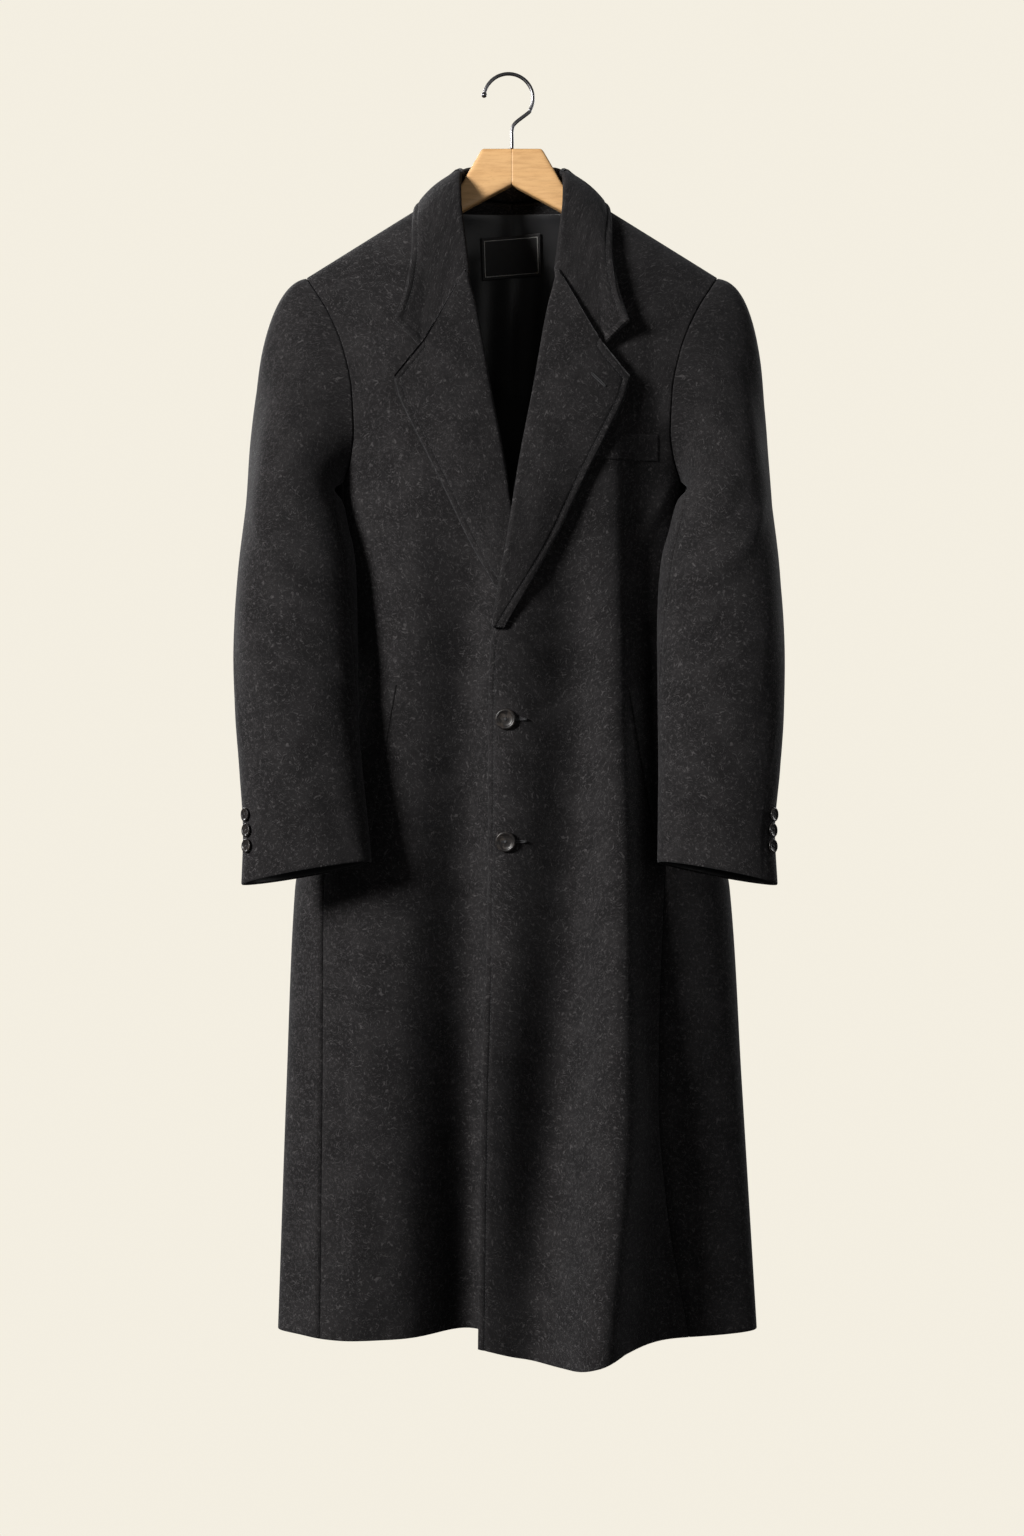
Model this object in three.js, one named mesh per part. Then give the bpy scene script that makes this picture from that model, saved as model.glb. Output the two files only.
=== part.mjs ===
// A long single-breasted wool overcoat on a wooden hanger.
// Millimetres, +Z up, +X towards the wearer's left, the front faces -Y.
// The origin is on the inside of the hanger's hook, where a rail or a nail carries it.
import * as THREE from "three";

// Driving dimensions
const CLOTH = 2.4; // wool of the body and sleeves
const FOLDED = 2.7; // lapel and collar, two layers of wool pressed together
const SATIN = 1.0; // lining
const WELT = 1.8; // pocket welts
const SEAM = 0.3; // room between two sewn pieces
const HEM_Z = -1381;
const ARMPIT_Z = -450;
const BREAK_Z = -641; // where the lapels start to roll
const GORGE_Z = -232; // where collar and lapel meet on the roll
const NECK_POINT = { x: 82, z: -134 }; // top end of the shoulder seam
const SHOULDER_POINT = { x: 226, z: -223 }; // outer end of the shoulder seam
const FRONT_ROUND = 170; // drop in which the chest reaches its full depth
const BACK_ROUND = 110;
const ROUND_POWER = 2.2;
const VENT_Z = -840; // top of the back vent
const VENT_LAP = 42;
const VENT_STEP = 1.2; // room between the two laps of the vent
const FRONT_BUTTON = 22.5;
const FRONT_BUTTON_X = -6.5;
const BUTTON_ROOM = 0.1; // under the middle of a front button, where the cloth is a little hollow
const FRONT_BUTTON_Z = [-709, -840];
const CUFF_BUTTON = 15;
const CUFF_BUTTON_TURN = 0.945; // place round the sleeve, just in front of its elbow seam
const CUFF_BUTTON_Z = [-802, -818.5, -835];
const HOOK_RADIUS = 27;
const WIRE = 4;
const HOOK_SHIFT = 3.9; // the middle of the hook's curve stands this far to the wearer's right of its shank
const SHANK = [
  { x: 0, z: -80.6 },
  { x: 0, z: -70 },
  { x: 0, z: -60 },
  { x: 3.5, z: -52 },
];
const HOOK_ARC = { from: -36, to: 172, step: 16 }; // degrees round the curve
const COLORS = {
  wool: 0x2a2a2d,
  satin: 0x131417,
  button: 0x1b1a1a,
  wood: 0xe0ab6c,
  steel: 0x77787a,
};

// Body sections: half widths, y of the side line, and depths in front of it and behind it
const BODY = [
  { z: -130, right: 330, left: 330, side: 0, front: 56, back: 50 },
  { z: -222, right: 300, left: 300, side: 3, front: 62, back: 52 },
  { z: -300, right: 262, left: 262, side: 9, front: 78, back: 54 },
  { z: -380, right: 228, left: 228, side: 17, front: 92, back: 50 },
  { z: -450, right: 202, left: 202, side: 24, front: 99, back: 46 },
  { z: -600, right: 196, left: 196, side: 25, front: 103, back: 45 },
  { z: -700, right: 199, left: 199, side: 25, front: 103, back: 45 },
  { z: -780, right: 212, left: 212, side: 25, front: 100, back: 45 },
  { z: -897, right: 241, left: 242, side: 25, front: 92, back: 45 },
  { z: -1110, right: 250, left: 255, side: 22, front: 78, back: 48 },
  { z: -1381, right: 259, left: 271, side: 16, front: 60, back: 54 },
];
// Front edge and roll line, measured from the centre towards the wearer's own side
const EDGE = [
  { z: -134, x: 56 },
  { z: -200, x: 50.5 },
  { z: -232, x: 46.5 },
  { z: -267, x: 38 },
  { z: -354, x: 22.5 },
  { z: -433, x: 7.5 },
  { z: -519, x: -6 },
  { z: -580, x: -17 },
  { z: -641, x: -24.5 },
  { z: -709, x: -26 },
  { z: -872, x: -26.7 },
  { z: -1128, x: -33.3 },
  { z: -1381, x: -36.9 },
];
// Seam between front and side panel
const FRONT_SEAM = [
  { z: -450, left: 184, right: 184 },
  { z: -600, left: 178, right: 180 },
  { z: -760, left: 172, right: 190 },
  { z: -900, left: 165, right: 206 },
  { z: -1119, left: 158.6, right: 207 },
  { z: -1229, left: 167.5, right: 208 },
  { z: -1381, left: 193, right: 209 },
];
const BACK_SEAM = [
  { z: -450, x: 180 },
  { z: -700, x: 176 },
  { z: -897, x: 196 },
  { z: -1381, x: 206 },
];
// Vertical folds of the fronts: crest x, how far it stands forward, and its reach to -X and to +X
const LEFT_RIDGE = [
  { z: -330, x: 108, rise: 0, inner: 40, outer: 24 },
  { z: -430, x: 108, rise: 12, inner: 34, outer: 18 },
  { z: -700, x: 113, rise: 20, inner: 36, outer: 18 },
  { z: -872, x: 118, rise: 32, inner: 38, outer: 22 },
  { z: -1109, x: 117, rise: 58, inner: 48, outer: 34 },
  { z: -1381, x: 93, rise: 96, inner: 58, outer: 46 },
];
const LEFT_EDGE_RIDGE = [
  { z: -900, x: -24, rise: 0, inner: 40, outer: 46 },
  { z: -1109, x: -24, rise: 12, inner: 40, outer: 46 },
  { z: -1381, x: -26, rise: 16, inner: 40, outer: 46 },
];
const MIDDLE_VALLEY = [
  { z: -460, x: 68, rise: 0, inner: 44, outer: 30 },
  { z: -560, x: 68, rise: -9, inner: 48, outer: 30 },
  { z: -700, x: 67, rise: -14, inner: 50, outer: 30 },
  { z: -872, x: 64, rise: -18, inner: 52, outer: 32 },
  { z: -1109, x: 50, rise: -22, inner: 50, outer: 34 },
  { z: -1381, x: 40, rise: -22, inner: 50, outer: 34 },
];
const RIGHT_VALLEY = [
  { z: -460, x: -46, rise: 0, inner: 42, outer: 28 },
  { z: -560, x: -46, rise: -12, inner: 42, outer: 28 },
  { z: -700, x: -46, rise: -18, inner: 43, outer: 28 },
  { z: -872, x: -46, rise: -24, inner: 44, outer: 30 },
  { z: -1109, x: -46, rise: -38, inner: 46, outer: 34 },
  { z: -1381, x: -48, rise: -48, inner: 48, outer: 36 },
];
const RIGHT_RIDGE = [
  { z: -440, x: -140, rise: 2, inner: 44, outer: 40 },
  { z: -700, x: -150, rise: 8, inner: 44, outer: 44 },
  { z: -1109, x: -165, rise: 12, inner: 50, outer: 44 },
  { z: -1381, x: -185, rise: 20, inner: 50, outer: 46 },
];
const HOLLOW_END_Z = -880; // below it the left front no longer follows the right one's hollow
const HOLLOW_FADE = 200;
// How much lower the left front hangs at its hem, and how far up that begins
const HEM_DROP = [
  { x: -60, fall: 0 },
  { x: -28, fall: 6 },
  { x: 10, fall: 17 },
  { x: 42, fall: 22 },
  { x: 62, fall: 18.5 },
  { x: 88, fall: 9 },
  { x: 120, fall: 0 },
];
const HEM_DROP_RISE = 300;
// Soft flares of the back, measured from the centre to either side
const BACK_FLARE = [
  { z: -640, x: 104, rise: 0, inner: 46, outer: 46 },
  { z: -900, x: 112, rise: 5, inner: 46, outer: 46 },
  { z: -1381, x: 124, rise: -13, inner: 42, outer: 44 },
];
// Outer edge of the lapel, from just above the break up to its point
const LAPEL_EDGE = [
  { x: -9, z: -613 },
  { x: 3.5, z: -592 },
  { x: 19, z: -567 },
  { x: 45.6, z: -520 },
  { x: 77.3, z: -454 },
  { x: 122, z: -360 },
  { x: 127, z: -339 },
];
const NOTCH = { x: 97, z: -309 };
const LAPEL_FOOT_Z = -612;
const LAPEL_NOTCH_SHARE = 0.62; // how far along the gorge the notch is, from the roll line
const COLLAR_NOTCH_SHARE = 0.64;
const LAPEL_REST = 1.9; // least room between a lapel and the front under it
const LAPEL_LIFT = { foot: 5.5, head: 11 }; // how far the free edge stands off the front
const LAPEL_BELLY = 3.5;
// Armhole in front and at the back, from the armpit up to the shoulder
const ARMHOLE_FRONT = [
  { x: 184, z: -450 },
  { x: 175, z: -422 },
  { x: 171.5, z: -395 },
  { x: 173, z: -355 },
  { x: 182, z: -310 },
  { x: 199, z: -268 },
  { x: 226, z: -223 },
];
const ARMHOLE_BACK = [
  { x: 180, z: -450 },
  { x: 176, z: -410 },
  { x: 176, z: -360 },
  { x: 185, z: -300 },
  { x: 203, z: -257 },
  { x: 226, z: -223 },
];
// Neck seam in front, from the gorge up to the shoulder, and at the back from the centre to the shoulder
const NECK_FRONT = [
  { x: 56, z: -228 },
  { x: 66, z: -196 },
  { x: 76, z: -164 },
  { x: 82, z: -134 },
];
const NECK_BACK = [
  { x: 0, z: -131 },
  { x: 45, z: -130 },
  { x: 72, z: -131 },
  { x: 82, z: -134 },
];
// Sleeve sections: how far out and in each sleeve reaches, its middle in y and its half depth
const SLEEVE = [
  { z: -475, outRight: 292, inRight: 182, outLeft: 284, inLeft: 176, y: -10, depth: 64 },
  { z: -548, outRight: 297, inRight: 169, outLeft: 290, inLeft: 160, y: -36, depth: 60 },
  { z: -630, outRight: 299, inRight: 166, outLeft: 293, inLeft: 156, y: -57, depth: 53 },
  { z: -694, outRight: 296, inRight: 165, outLeft: 291, inLeft: 156, y: -68, depth: 48 },
  { z: -755, outRight: 290, inRight: 161, outLeft: 286, inLeft: 156, y: -78, depth: 43 },
  { z: -820, outRight: 285.5, inRight: 154, outLeft: 280, inLeft: 155, y: -88, depth: 37 },
  { z: -873, outRight: 287, inRight: 148.5, outLeft: 282, inLeft: 154, y: -95, depth: 30 },
];
const CUFF_SLANT = 12; // the inner end of the cuff is higher, the outer end lower
const CUFF_PITCH = 5; // the front of the cuff is higher, the back lower
const CUFF_ROOM = 1; // between the sleeve and the lining inside its cuff
const CUFF_INSET = 0.25; // the lining ends this share of a row above the cuff's edge
const INNER_SEAM = 0.4; // turn round the armhole where the sleeve's inner seam meets it
const UNDER_END = 0.6; // turn where the underarm ends and the back begins
const ELBOW_SEAM = 0.8;
const SLEEVE_TURN = 0.13; // how far the sleeve seams turn forward on their way down, in turns
// Collar stations from the centre back to the gorge: seam, direction of the stand, outward direction,
// height of the stand, and edge of the fall
const COLLAR = [
  {
    sx: 0, sz: -131, ux: 0, uy: -0.12, uz: 1, ox: 0, oy: 1, oz: 0,
    stand: 35, ex: 0, ey: 58, ez: -156,
  },
  {
    sx: 45, sz: -130, ux: -0.1, uy: -0.12, uz: 1, ox: 0.3, oy: 0.95, oz: 0,
    stand: 34, ex: 58, ey: 52, ez: -159,
  },
  {
    sx: 72, sz: -131, ux: -0.5, uy: -0.1, uz: 0.86, ox: 0.78, oy: 0.62, oz: 0,
    stand: 31, ex: 94, ey: 34, ez: -155,
  },
  {
    sx: 82, sz: -134, ux: -0.7, uy: 0, uz: 0.71, ox: 1, oy: 0, oz: 0,
    stand: 35, ex: 107, ey: 1, ez: -145,
  },
  {
    sx: 80.5, sz: -146, ux: -0.76, uy: -0.12, uz: 0.64, ox: 0.86, oy: -0.5, oz: 0.1,
    stand: 31, ex: 109.5, ey: -36, ez: -172,
  },
  {
    sx: 76, sz: -164, ux: -0.85, uy: -0.2, uz: 0.5, ox: 0.5, oy: -0.86, oz: 0.1,
    stand: 23.5, ex: 109, ey: -52, ez: -200,
  },
  {
    sx: 66, sz: -196, ux: -0.95, uy: -0.15, uz: 0.25, ox: 0.2, oy: -0.98, oz: 0.05,
    stand: 15, ex: 113, ey: -66, ez: -240,
  },
  {
    sx: 56, sz: -228, ux: -1, uy: 0, uz: 0.05, ox: 0, oy: -1, oz: 0,
    stand: 8.5, ex: 126, ey: -75, ez: -283,
  },
];
const COLLAR_TURN = 4.5; // radius of the roll of collar and lapel
const SHOULDER_STATION = 3 / 7; // where along the collar's stations the shoulder seam is
const COLLAR_RISE = 2.6; // the stand starts this far above the neck seam
const LINING = { hem: HEM_Z + 28, top: -142, room: 1.4, ventRoom: 1.6, pleat: 1.4, pleatReach: 9 };
const LABEL = { room: 1.5, thick: 0.6, lift: 0.4 };
// Hanger arm sections from the middle out: top and bottom, y of the middle, half thickness
const HANGER = [
  { x: 0.15, top: -81, bottom: -121, y: 0, half: 8 },
  { x: 33, top: -81, bottom: -138.5, y: 0, half: 8 },
  { x: 56, top: -121, bottom: -151, y: 0, half: 8.5 },
  { x: 72, top: -137.5, bottom: -161, y: 0, half: 9 },
  { x: 90, top: -146.2, bottom: -173, y: 0, half: 10 },
  { x: 130, top: -171.2, bottom: -198, y: -0.5, half: 12 },
  { x: 170, top: -195.7, bottom: -223, y: -1, half: 13.5 },
  { x: 198, top: -213.6, bottom: -241, y: -1, half: 13.5 },
  { x: 206, top: -223, bottom: -238, y: -1, half: 8 },
];

const lerp = THREE.MathUtils.lerp;
const clamp = THREE.MathUtils.clamp;
const smooth = (t) => THREE.MathUtils.smoothstep(t, 0, 1);

/** Smooth value of a column at a place along a table whose rows run in one direction of `key`. */
function column(table, name, at, key = "z") {
  const down = table[0][key] > table[table.length - 1][key];
  const sign = down ? -1 : 1;
  const t = (row) => row[key] * sign;
  const q = at * sign;
  if (q <= t(table[0])) return table[0][name];
  if (q >= t(table[table.length - 1])) return table[table.length - 1][name];
  let i = 0;
  while (q > t(table[i + 1])) i++;
  const slope = (j) => {
    if (j <= 0 || j >= table.length - 1) {
      const k = clamp(j, 0, table.length - 2);
      return (table[k + 1][name] - table[k][name]) / (t(table[k + 1]) - t(table[k]));
    }
    const before = (table[j][name] - table[j - 1][name]) / (t(table[j]) - t(table[j - 1]));
    const after = (table[j + 1][name] - table[j][name]) / (t(table[j + 1]) - t(table[j]));
    return before * after <= 0 ? 0 : (2 * before * after) / (before + after);
  };
  const h = t(table[i + 1]) - t(table[i]);
  const s = (q - t(table[i])) / h;
  const [a, b] = [table[i][name], table[i + 1][name]];
  const [da, db] = [slope(i) * h, slope(i + 1) * h];
  const [s2, s3] = [s * s, s * s * s];
  return a * (2 * s3 - 3 * s2 + 1) + da * (s3 - 2 * s2 + s) + b * (3 * s2 - 2 * s3) + db * (s3 - s2);
}

/** Smooth value of a column at share `t` of the way along a table. */
function along(table, name, t) {
  const rows = table.map((row, i) => ({ key: i, value: row[name] }));
  return column(rows, "value", clamp(t, 0, 1) * (table.length - 1), "key");
}

/** One fold's push at distance x from the centre: a crest with its own reach to either side. */
function fold(table, x, z) {
  const d = x - column(table, "x", z);
  const reach = column(table, d < 0 ? "inner" : "outer", z);
  return column(table, "rise", z) * Math.exp(-((d / reach) ** 2));
}

const sideName = (side) => (side > 0 ? "left" : "right");
const halfWidth = (side, z) => column(BODY, sideName(side), z);
const shoulderZ = (x) => {
  const slope = (SHOULDER_POINT.z - NECK_POINT.z) / (SHOULDER_POINT.x - NECK_POINT.x);
  return NECK_POINT.z + (Math.abs(x) - NECK_POINT.x) * slope;
};

/** Share of its full depth that the coat has at a drop below the shoulder line. */
function rounding(drop, reach) {
  const t = clamp(drop / reach, 0, 1);
  return (1 - (1 - t) ** ROUND_POWER) ** (1 / ROUND_POWER);
}

/** How far the left front is lifted off the right one that it laps over. */
function lapLift(x, z) {
  const crossing = 9.8 * smooth((z + 672) / 48) * (1 - smooth((z + 470) / 90));
  const fade = 1 - smooth((x - 30) / 90);
  return (3.6 + crossing) * fade * smooth((-z - 330) / 110);
}

/** y of a front's outer face; `side` says which front, +1 for the wearer's left, and x may cross the centre. */
function frontY(side, x, z) {
  const own = x * side; // distance towards this front's own side
  const half = halfWidth(x < 0 ? -1 : 1, z);
  const around = Math.sqrt(Math.max(0, 1 - (x / half) ** 2));
  const line = column(BODY, "side", z);
  const depth = column(BODY, "front", z);
  const inside = smooth((half - Math.abs(x)) / 50);
  let push = fold(MIDDLE_VALLEY, x, z);
  if (side > 0) {
    const follow = 1 - smooth((HOLLOW_END_Z - z) / HOLLOW_FADE);
    push += fold(LEFT_RIDGE, x, z) + fold(LEFT_EDGE_RIDGE, x, z) + lapLift(own, z);
    push += fold(RIGHT_VALLEY, x, z) * follow;
  } else push += fold(RIGHT_VALLEY, x, z) + fold(RIGHT_RIDGE, x, z);
  const y = line - depth * around - push * inside;
  return y * rounding(shoulderZ(x) - z, FRONT_ROUND);
}

/** How much lower a front hangs, in full at its hem. */
function hang(side, x, z) {
  if (side < 0) return 0;
  return column(HEM_DROP, "fall", x, "x") * smooth((HEM_Z + HEM_DROP_RISE - z) / HEM_DROP_RISE);
}

/** y of the back's outer face. */
function backY(x, z) {
  const half = halfWidth(x < 0 ? -1 : 1, z);
  const around = Math.max(0, 1 - Math.abs(x / half) ** 3.2) ** (1 / 3.2);
  const inside = smooth((half - Math.abs(x)) / 50);
  const flare = fold(BACK_FLARE, Math.abs(x), z) * inside;
  const y = column(BODY, "side", z) + column(BODY, "back", z) * around + flare;
  return y * rounding(shoulderZ(x) - z, BACK_ROUND);
}

/** A point of a front or back face with its outward normal. */
function facePoint(height, x, z, outward) {
  const step = 0.5;
  const dx = (height(x + step, z) - height(x - step, z)) / (2 * step);
  const dz = (height(x, z + step) - height(x, z - step)) / (2 * step);
  const normal = new THREE.Vector3(-dx, 1, -dz).multiplyScalar(outward).normalize();
  return { point: new THREE.Vector3(x, height(x, z), z), normal };
}
const frontPoint = (side, x, z) => facePoint((a, b) => frontY(side, a, b), x, z, -1);
const backPoint = (x, z) => facePoint(backY, x, z, 1);

/** A point of the side of the body; turn runs from -1, on the front, through 0, the side line, to 1 on the back. */
function sidePoint(side, turn, z) {
  const at = (turnAt, zAt) => {
    const half = halfWidth(side, zAt);
    const front = column(FRONT_SEAM, sideName(side), zAt) / half;
    const back = column(BACK_SEAM, "x", zAt) / half;
    const line = column(BODY, "side", zAt);
    if (turnAt < 0) {
      const angle = -turnAt * Math.acos(Math.min(front, 0.999));
      const x = side * half * Math.cos(angle);
      return new THREE.Vector3(x, angle < 1e-6 ? line : frontY(side, x, zAt), zAt);
    }
    const angle = turnAt * Math.acos(Math.min(back, 0.999) ** 1.6);
    const x = side * half * Math.cos(angle) ** (1 / 1.6);
    return new THREE.Vector3(x, angle < 1e-6 ? line : backY(x, zAt), zAt);
  };
  const step = 0.02;
  const tangent = at(Math.min(turn + step, 1), z).sub(at(Math.max(turn - step, -1), z));
  const rise = at(turn, z + 0.5).sub(at(turn, z - 0.5));
  const normal = tangent.cross(rise).multiplyScalar(side).normalize();
  return { point: at(turn, z), normal };
}

/** Closed wall from a grid of { point, normal }: rows of columns, `thick` deep on the side away from the normal. */
function wall(grid, thick, ring = false) {
  const rows = grid.length;
  const cols = grid[0].length;
  const vertices = [];
  for (const layer of [0, 1])
    for (const row of grid)
      for (const { point, normal } of row) {
        const { x, y, z } = point.clone().addScaledVector(normal, -thick * layer);
        vertices.push(x, y, z);
      }
  const id = (layer, r, c) => layer * rows * cols + r * cols + (ring ? c % cols : c);
  const faces = [];
  const quad = (a, b, c, d) => faces.push(a, b, c, a, c, d);
  const last = ring ? cols : cols - 1;
  for (let r = 0; r < rows - 1; r++)
    for (let c = 0; c < last; c++) {
      quad(id(0, r, c), id(0, r, c + 1), id(0, r + 1, c + 1), id(0, r + 1, c));
      quad(id(1, r + 1, c), id(1, r + 1, c + 1), id(1, r, c + 1), id(1, r, c));
    }
  for (let c = 0; c < last; c++) {
    quad(id(1, 0, c), id(1, 0, c + 1), id(0, 0, c + 1), id(0, 0, c));
    quad(id(0, rows - 1, c), id(0, rows - 1, c + 1), id(1, rows - 1, c + 1), id(1, rows - 1, c));
  }
  if (!ring)
    for (let r = 0; r < rows - 1; r++) {
      quad(id(0, r, 0), id(0, r + 1, 0), id(1, r + 1, 0), id(1, r, 0));
      quad(id(1, r, last), id(1, r + 1, last), id(0, r + 1, last), id(0, r, last));
    }
  const geometry = new THREE.BufferGeometry();
  geometry.setAttribute("position", new THREE.Float32BufferAttribute(vertices, 3));
  geometry.setIndex(faces);
  return facingOut(geometry);
}

/** The geometry with its faces turned round if they point inwards. */
function facingOut(geometry) {
  const p = geometry.getAttribute("position");
  const index = geometry.getIndex().array;
  const [a, b, c] = [new THREE.Vector3(), new THREE.Vector3(), new THREE.Vector3()];
  let volume = 0;
  for (let i = 0; i < index.length; i += 3) {
    a.fromBufferAttribute(p, index[i]);
    b.fromBufferAttribute(p, index[i + 1]);
    c.fromBufferAttribute(p, index[i + 2]);
    volume += a.dot(b.cross(c));
  }
  const turned = volume < 0;
  for (let i = 0; turned && i < index.length; i += 3) [index[i], index[i + 1]] = [index[i + 1], index[i]];
  geometry.computeVertexNormals();
  return geometry;
}

/** Outward normals worked out from the grid's own points; `flip` turns them over. */
function gridNormals(points, flip, ring = false) {
  const rows = points.length;
  const cols = points[0].length;
  return points.map((row, r) =>
    row.map((point, c) => {
      const left = ring ? row[(c + cols - 1) % cols] : row[Math.max(c - 1, 0)];
      const right = ring ? row[(c + 1) % cols] : row[Math.min(c + 1, cols - 1)];
      const above = points[Math.min(r + 1, rows - 1)][c];
      const below = points[Math.max(r - 1, 0)][c];
      const normal = right.clone().sub(left).cross(above.clone().sub(below)).normalize();
      return { point, normal: normal.multiplyScalar(flip) };
    }),
  );
}

/** Heights of the rows below the armpit, closer together where the outline changes. */
const LOWER_ROWS = [-1381, -1315, -1240, -1160, -1075, -985, -897, -840, -785, -725, -665, -610, -555, -500, -450];
/** Shares of the way from the armpit to the shoulder. */
const UPPER_ROWS = [0.13, 0.26, 0.39, 0.52, 0.65, 0.77, 0.87, 0.94, 0.98, 1];

/** Inner end of a front's row above the armpit: up the roll line, then along the neck seam. */
function frontInner(t) {
  const turn = 0.66;
  if (t < turn) {
    const z = lerp(ARMPIT_Z, GORGE_Z, t / turn);
    return { x: column(EDGE, "x", z) + COLLAR_TURN, z };
  }
  const n = (t - turn) / (1 - turn);
  return { x: along(NECK_FRONT, "x", n), z: along(NECK_FRONT, "z", n) };
}

/** Inner end of a back's row above the armpit: up the centre seam, then along the neck seam. */
function backInner(t) {
  const turn = 0.8;
  if (t < turn) return { x: 0, z: lerp(ARMPIT_Z, NECK_BACK[0].z, t / turn) };
  const n = (t - turn) / (1 - turn);
  return { x: along(NECK_BACK, "x", n), z: along(NECK_BACK, "z", n) };
}

const armholeFront = (t) => ({ x: along(ARMHOLE_FRONT, "x", t), z: along(ARMHOLE_FRONT, "z", t) });
const armholeBack = (t) => ({ x: along(ARMHOLE_BACK, "x", t), z: along(ARMHOLE_BACK, "z", t) });

/** Normal of the cloth on the shoulder seam, where it lies square on the hanger. */
function shoulderNormal(side) {
  const run = new THREE.Vector3(side * (SHOULDER_POINT.x - NECK_POINT.x), 0, SHOULDER_POINT.z - NECK_POINT.z);
  return new THREE.Vector3(-run.z * side, 0, run.x * side).normalize();
}

/** Shares along a row that keep its points evenly spaced on the cloth. */
function evenShares(count, at) {
  const fine = 60;
  const lengths = [0];
  for (let i = 1; i <= fine; i++) lengths.push(lengths[i - 1] + at(i / fine).distanceTo(at((i - 1) / fine)));
  const shares = [];
  let k = 0;
  for (let c = 0; c < count; c++) {
    const want = (lengths[fine] * c) / (count - 1);
    while (k < fine - 1 && lengths[k + 1] < want) k++;
    shares.push((k + (want - lengths[k]) / (lengths[k + 1] - lengths[k])) / fine);
  }
  return shares;
}

/** One row of a panel between two ends on a face, with half a seam's room at each end. */
function panelRow(face, from, to, count, roomFrom, roomTo) {
  const at = (t) => face(lerp(from.x, to.x, t), lerp(from.z, to.z, t)).point;
  const length = Math.hypot(to.x - from.x, to.z - from.z);
  return evenShares(count, at).map((share) => {
    const t = lerp(roomFrom / length, 1 - roomTo / length, share);
    return face(lerp(from.x, to.x, t), lerp(from.z, to.z, t));
  });
}

function frontPanel(side, count) {
  const face = (x, z) => frontPoint(side, x, z - hang(side, x, z));
  const rows = LOWER_ROWS.map((z) => {
    const turn = COLLAR_TURN * smooth((z - BREAK_Z) / 60);
    const from = { x: side * (column(EDGE, "x", z) + turn), z };
    const to = { x: side * column(FRONT_SEAM, sideName(side), z), z };
    return panelRow(face, from, to, count, 0, SEAM / 2);
  });
  for (const t of UPPER_ROWS) {
    const inner = frontInner(t);
    const outer = armholeFront(t);
    const from = { x: side * inner.x, z: inner.z };
    const row = panelRow(face, from, { x: side * outer.x, z: outer.z }, count, SEAM, SEAM / 2);
    if (t === 1)
      for (const place of row) {
        place.point.y = -SEAM / 2;
        place.normal = shoulderNormal(side);
      }
    rows.push(row);
  }
  return wall(rows, CLOTH);
}

/** The vent: the wearer's left back laps over, and the right one steps in behind it. */
function ventStep(side, x, z) {
  if (side > 0) return 0;
  const under = smooth((VENT_Z + 25 - z) / 25);
  return (CLOTH + VENT_STEP) * under * (1 - smooth((Math.abs(x) - VENT_LAP) / 60));
}

function backPanel(side, count) {
  const face = (x, z) => {
    const place = backPoint(x, z);
    place.point.y -= ventStep(side, x, z);
    return place;
  };
  const rows = LOWER_ROWS.map((z) => {
    const lap = side > 0 && z < VENT_Z - 30 ? -VENT_LAP : 0;
    const to = { x: side * column(BACK_SEAM, "x", z), z };
    return panelRow(face, { x: lap * side, z }, to, count, lap ? 0 : SEAM / 2, SEAM / 2);
  });
  for (const t of UPPER_ROWS) {
    const inner = backInner(t);
    const outer = armholeBack(t);
    const from = { x: side * inner.x, z: inner.z };
    const row = panelRow(face, from, { x: side * outer.x, z: outer.z }, count, SEAM / 2, SEAM / 2);
    if (t === 1)
      for (const place of row) {
        place.point.y = SEAM / 2;
        place.normal = shoulderNormal(side);
      }
    rows.push(row);
  }
  return wall(rows, CLOTH);
}

/** Turns across the side panel, from the front seam to the back seam. */
const SIDE_TURNS = [-1, -0.66, -0.33, 0, 0.33, 0.66, 1];

function sidePanel(side) {
  const rows = LOWER_ROWS.map((z) =>
    SIDE_TURNS.map((turn) => {
      return Math.abs(turn) < 1 ? sidePoint(side, turn, z) : seamPlace(side, turn, z);
    }),
  );
  return wall(rows, CLOTH);
}

/** Edge of the side panel, on the same face and with the same normal as its neighbour. */
function seamPlace(side, turn, z) {
  const x = side * (turn < 0 ? column(FRONT_SEAM, sideName(side), z) : column(BACK_SEAM, "x", z));
  const at = x + side * (SEAM / 2);
  return turn < 0 ? frontPoint(side, at, z) : backPoint(at, z);
}

/** The armhole all round, from the shoulder down the front, under the arm and up the back. */
function armholeRing(side) {
  const ring = [];
  for (const t of [0, ...UPPER_ROWS].reverse()) {
    const { x, z } = armholeFront(t);
    const y = t === 1 ? 0 : frontY(side, side * x, z);
    ring.push({ turn: lerp(0, INNER_SEAM, 1 - t), point: new THREE.Vector3(side * x, y, z) });
  }
  for (const turn of SIDE_TURNS.slice(1, -1)) {
    const { point } = sidePoint(side, turn, ARMPIT_Z);
    ring.push({ turn: lerp(INNER_SEAM, UNDER_END, (turn + 1) / 2), point });
  }
  for (const t of [0, ...UPPER_ROWS.slice(0, -1)]) {
    const { x, z } = armholeBack(t);
    ring.push({ turn: lerp(UNDER_END, 1, t), point: new THREE.Vector3(side * x, backY(side * x, z), z) });
  }
  return ring;
}

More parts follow.
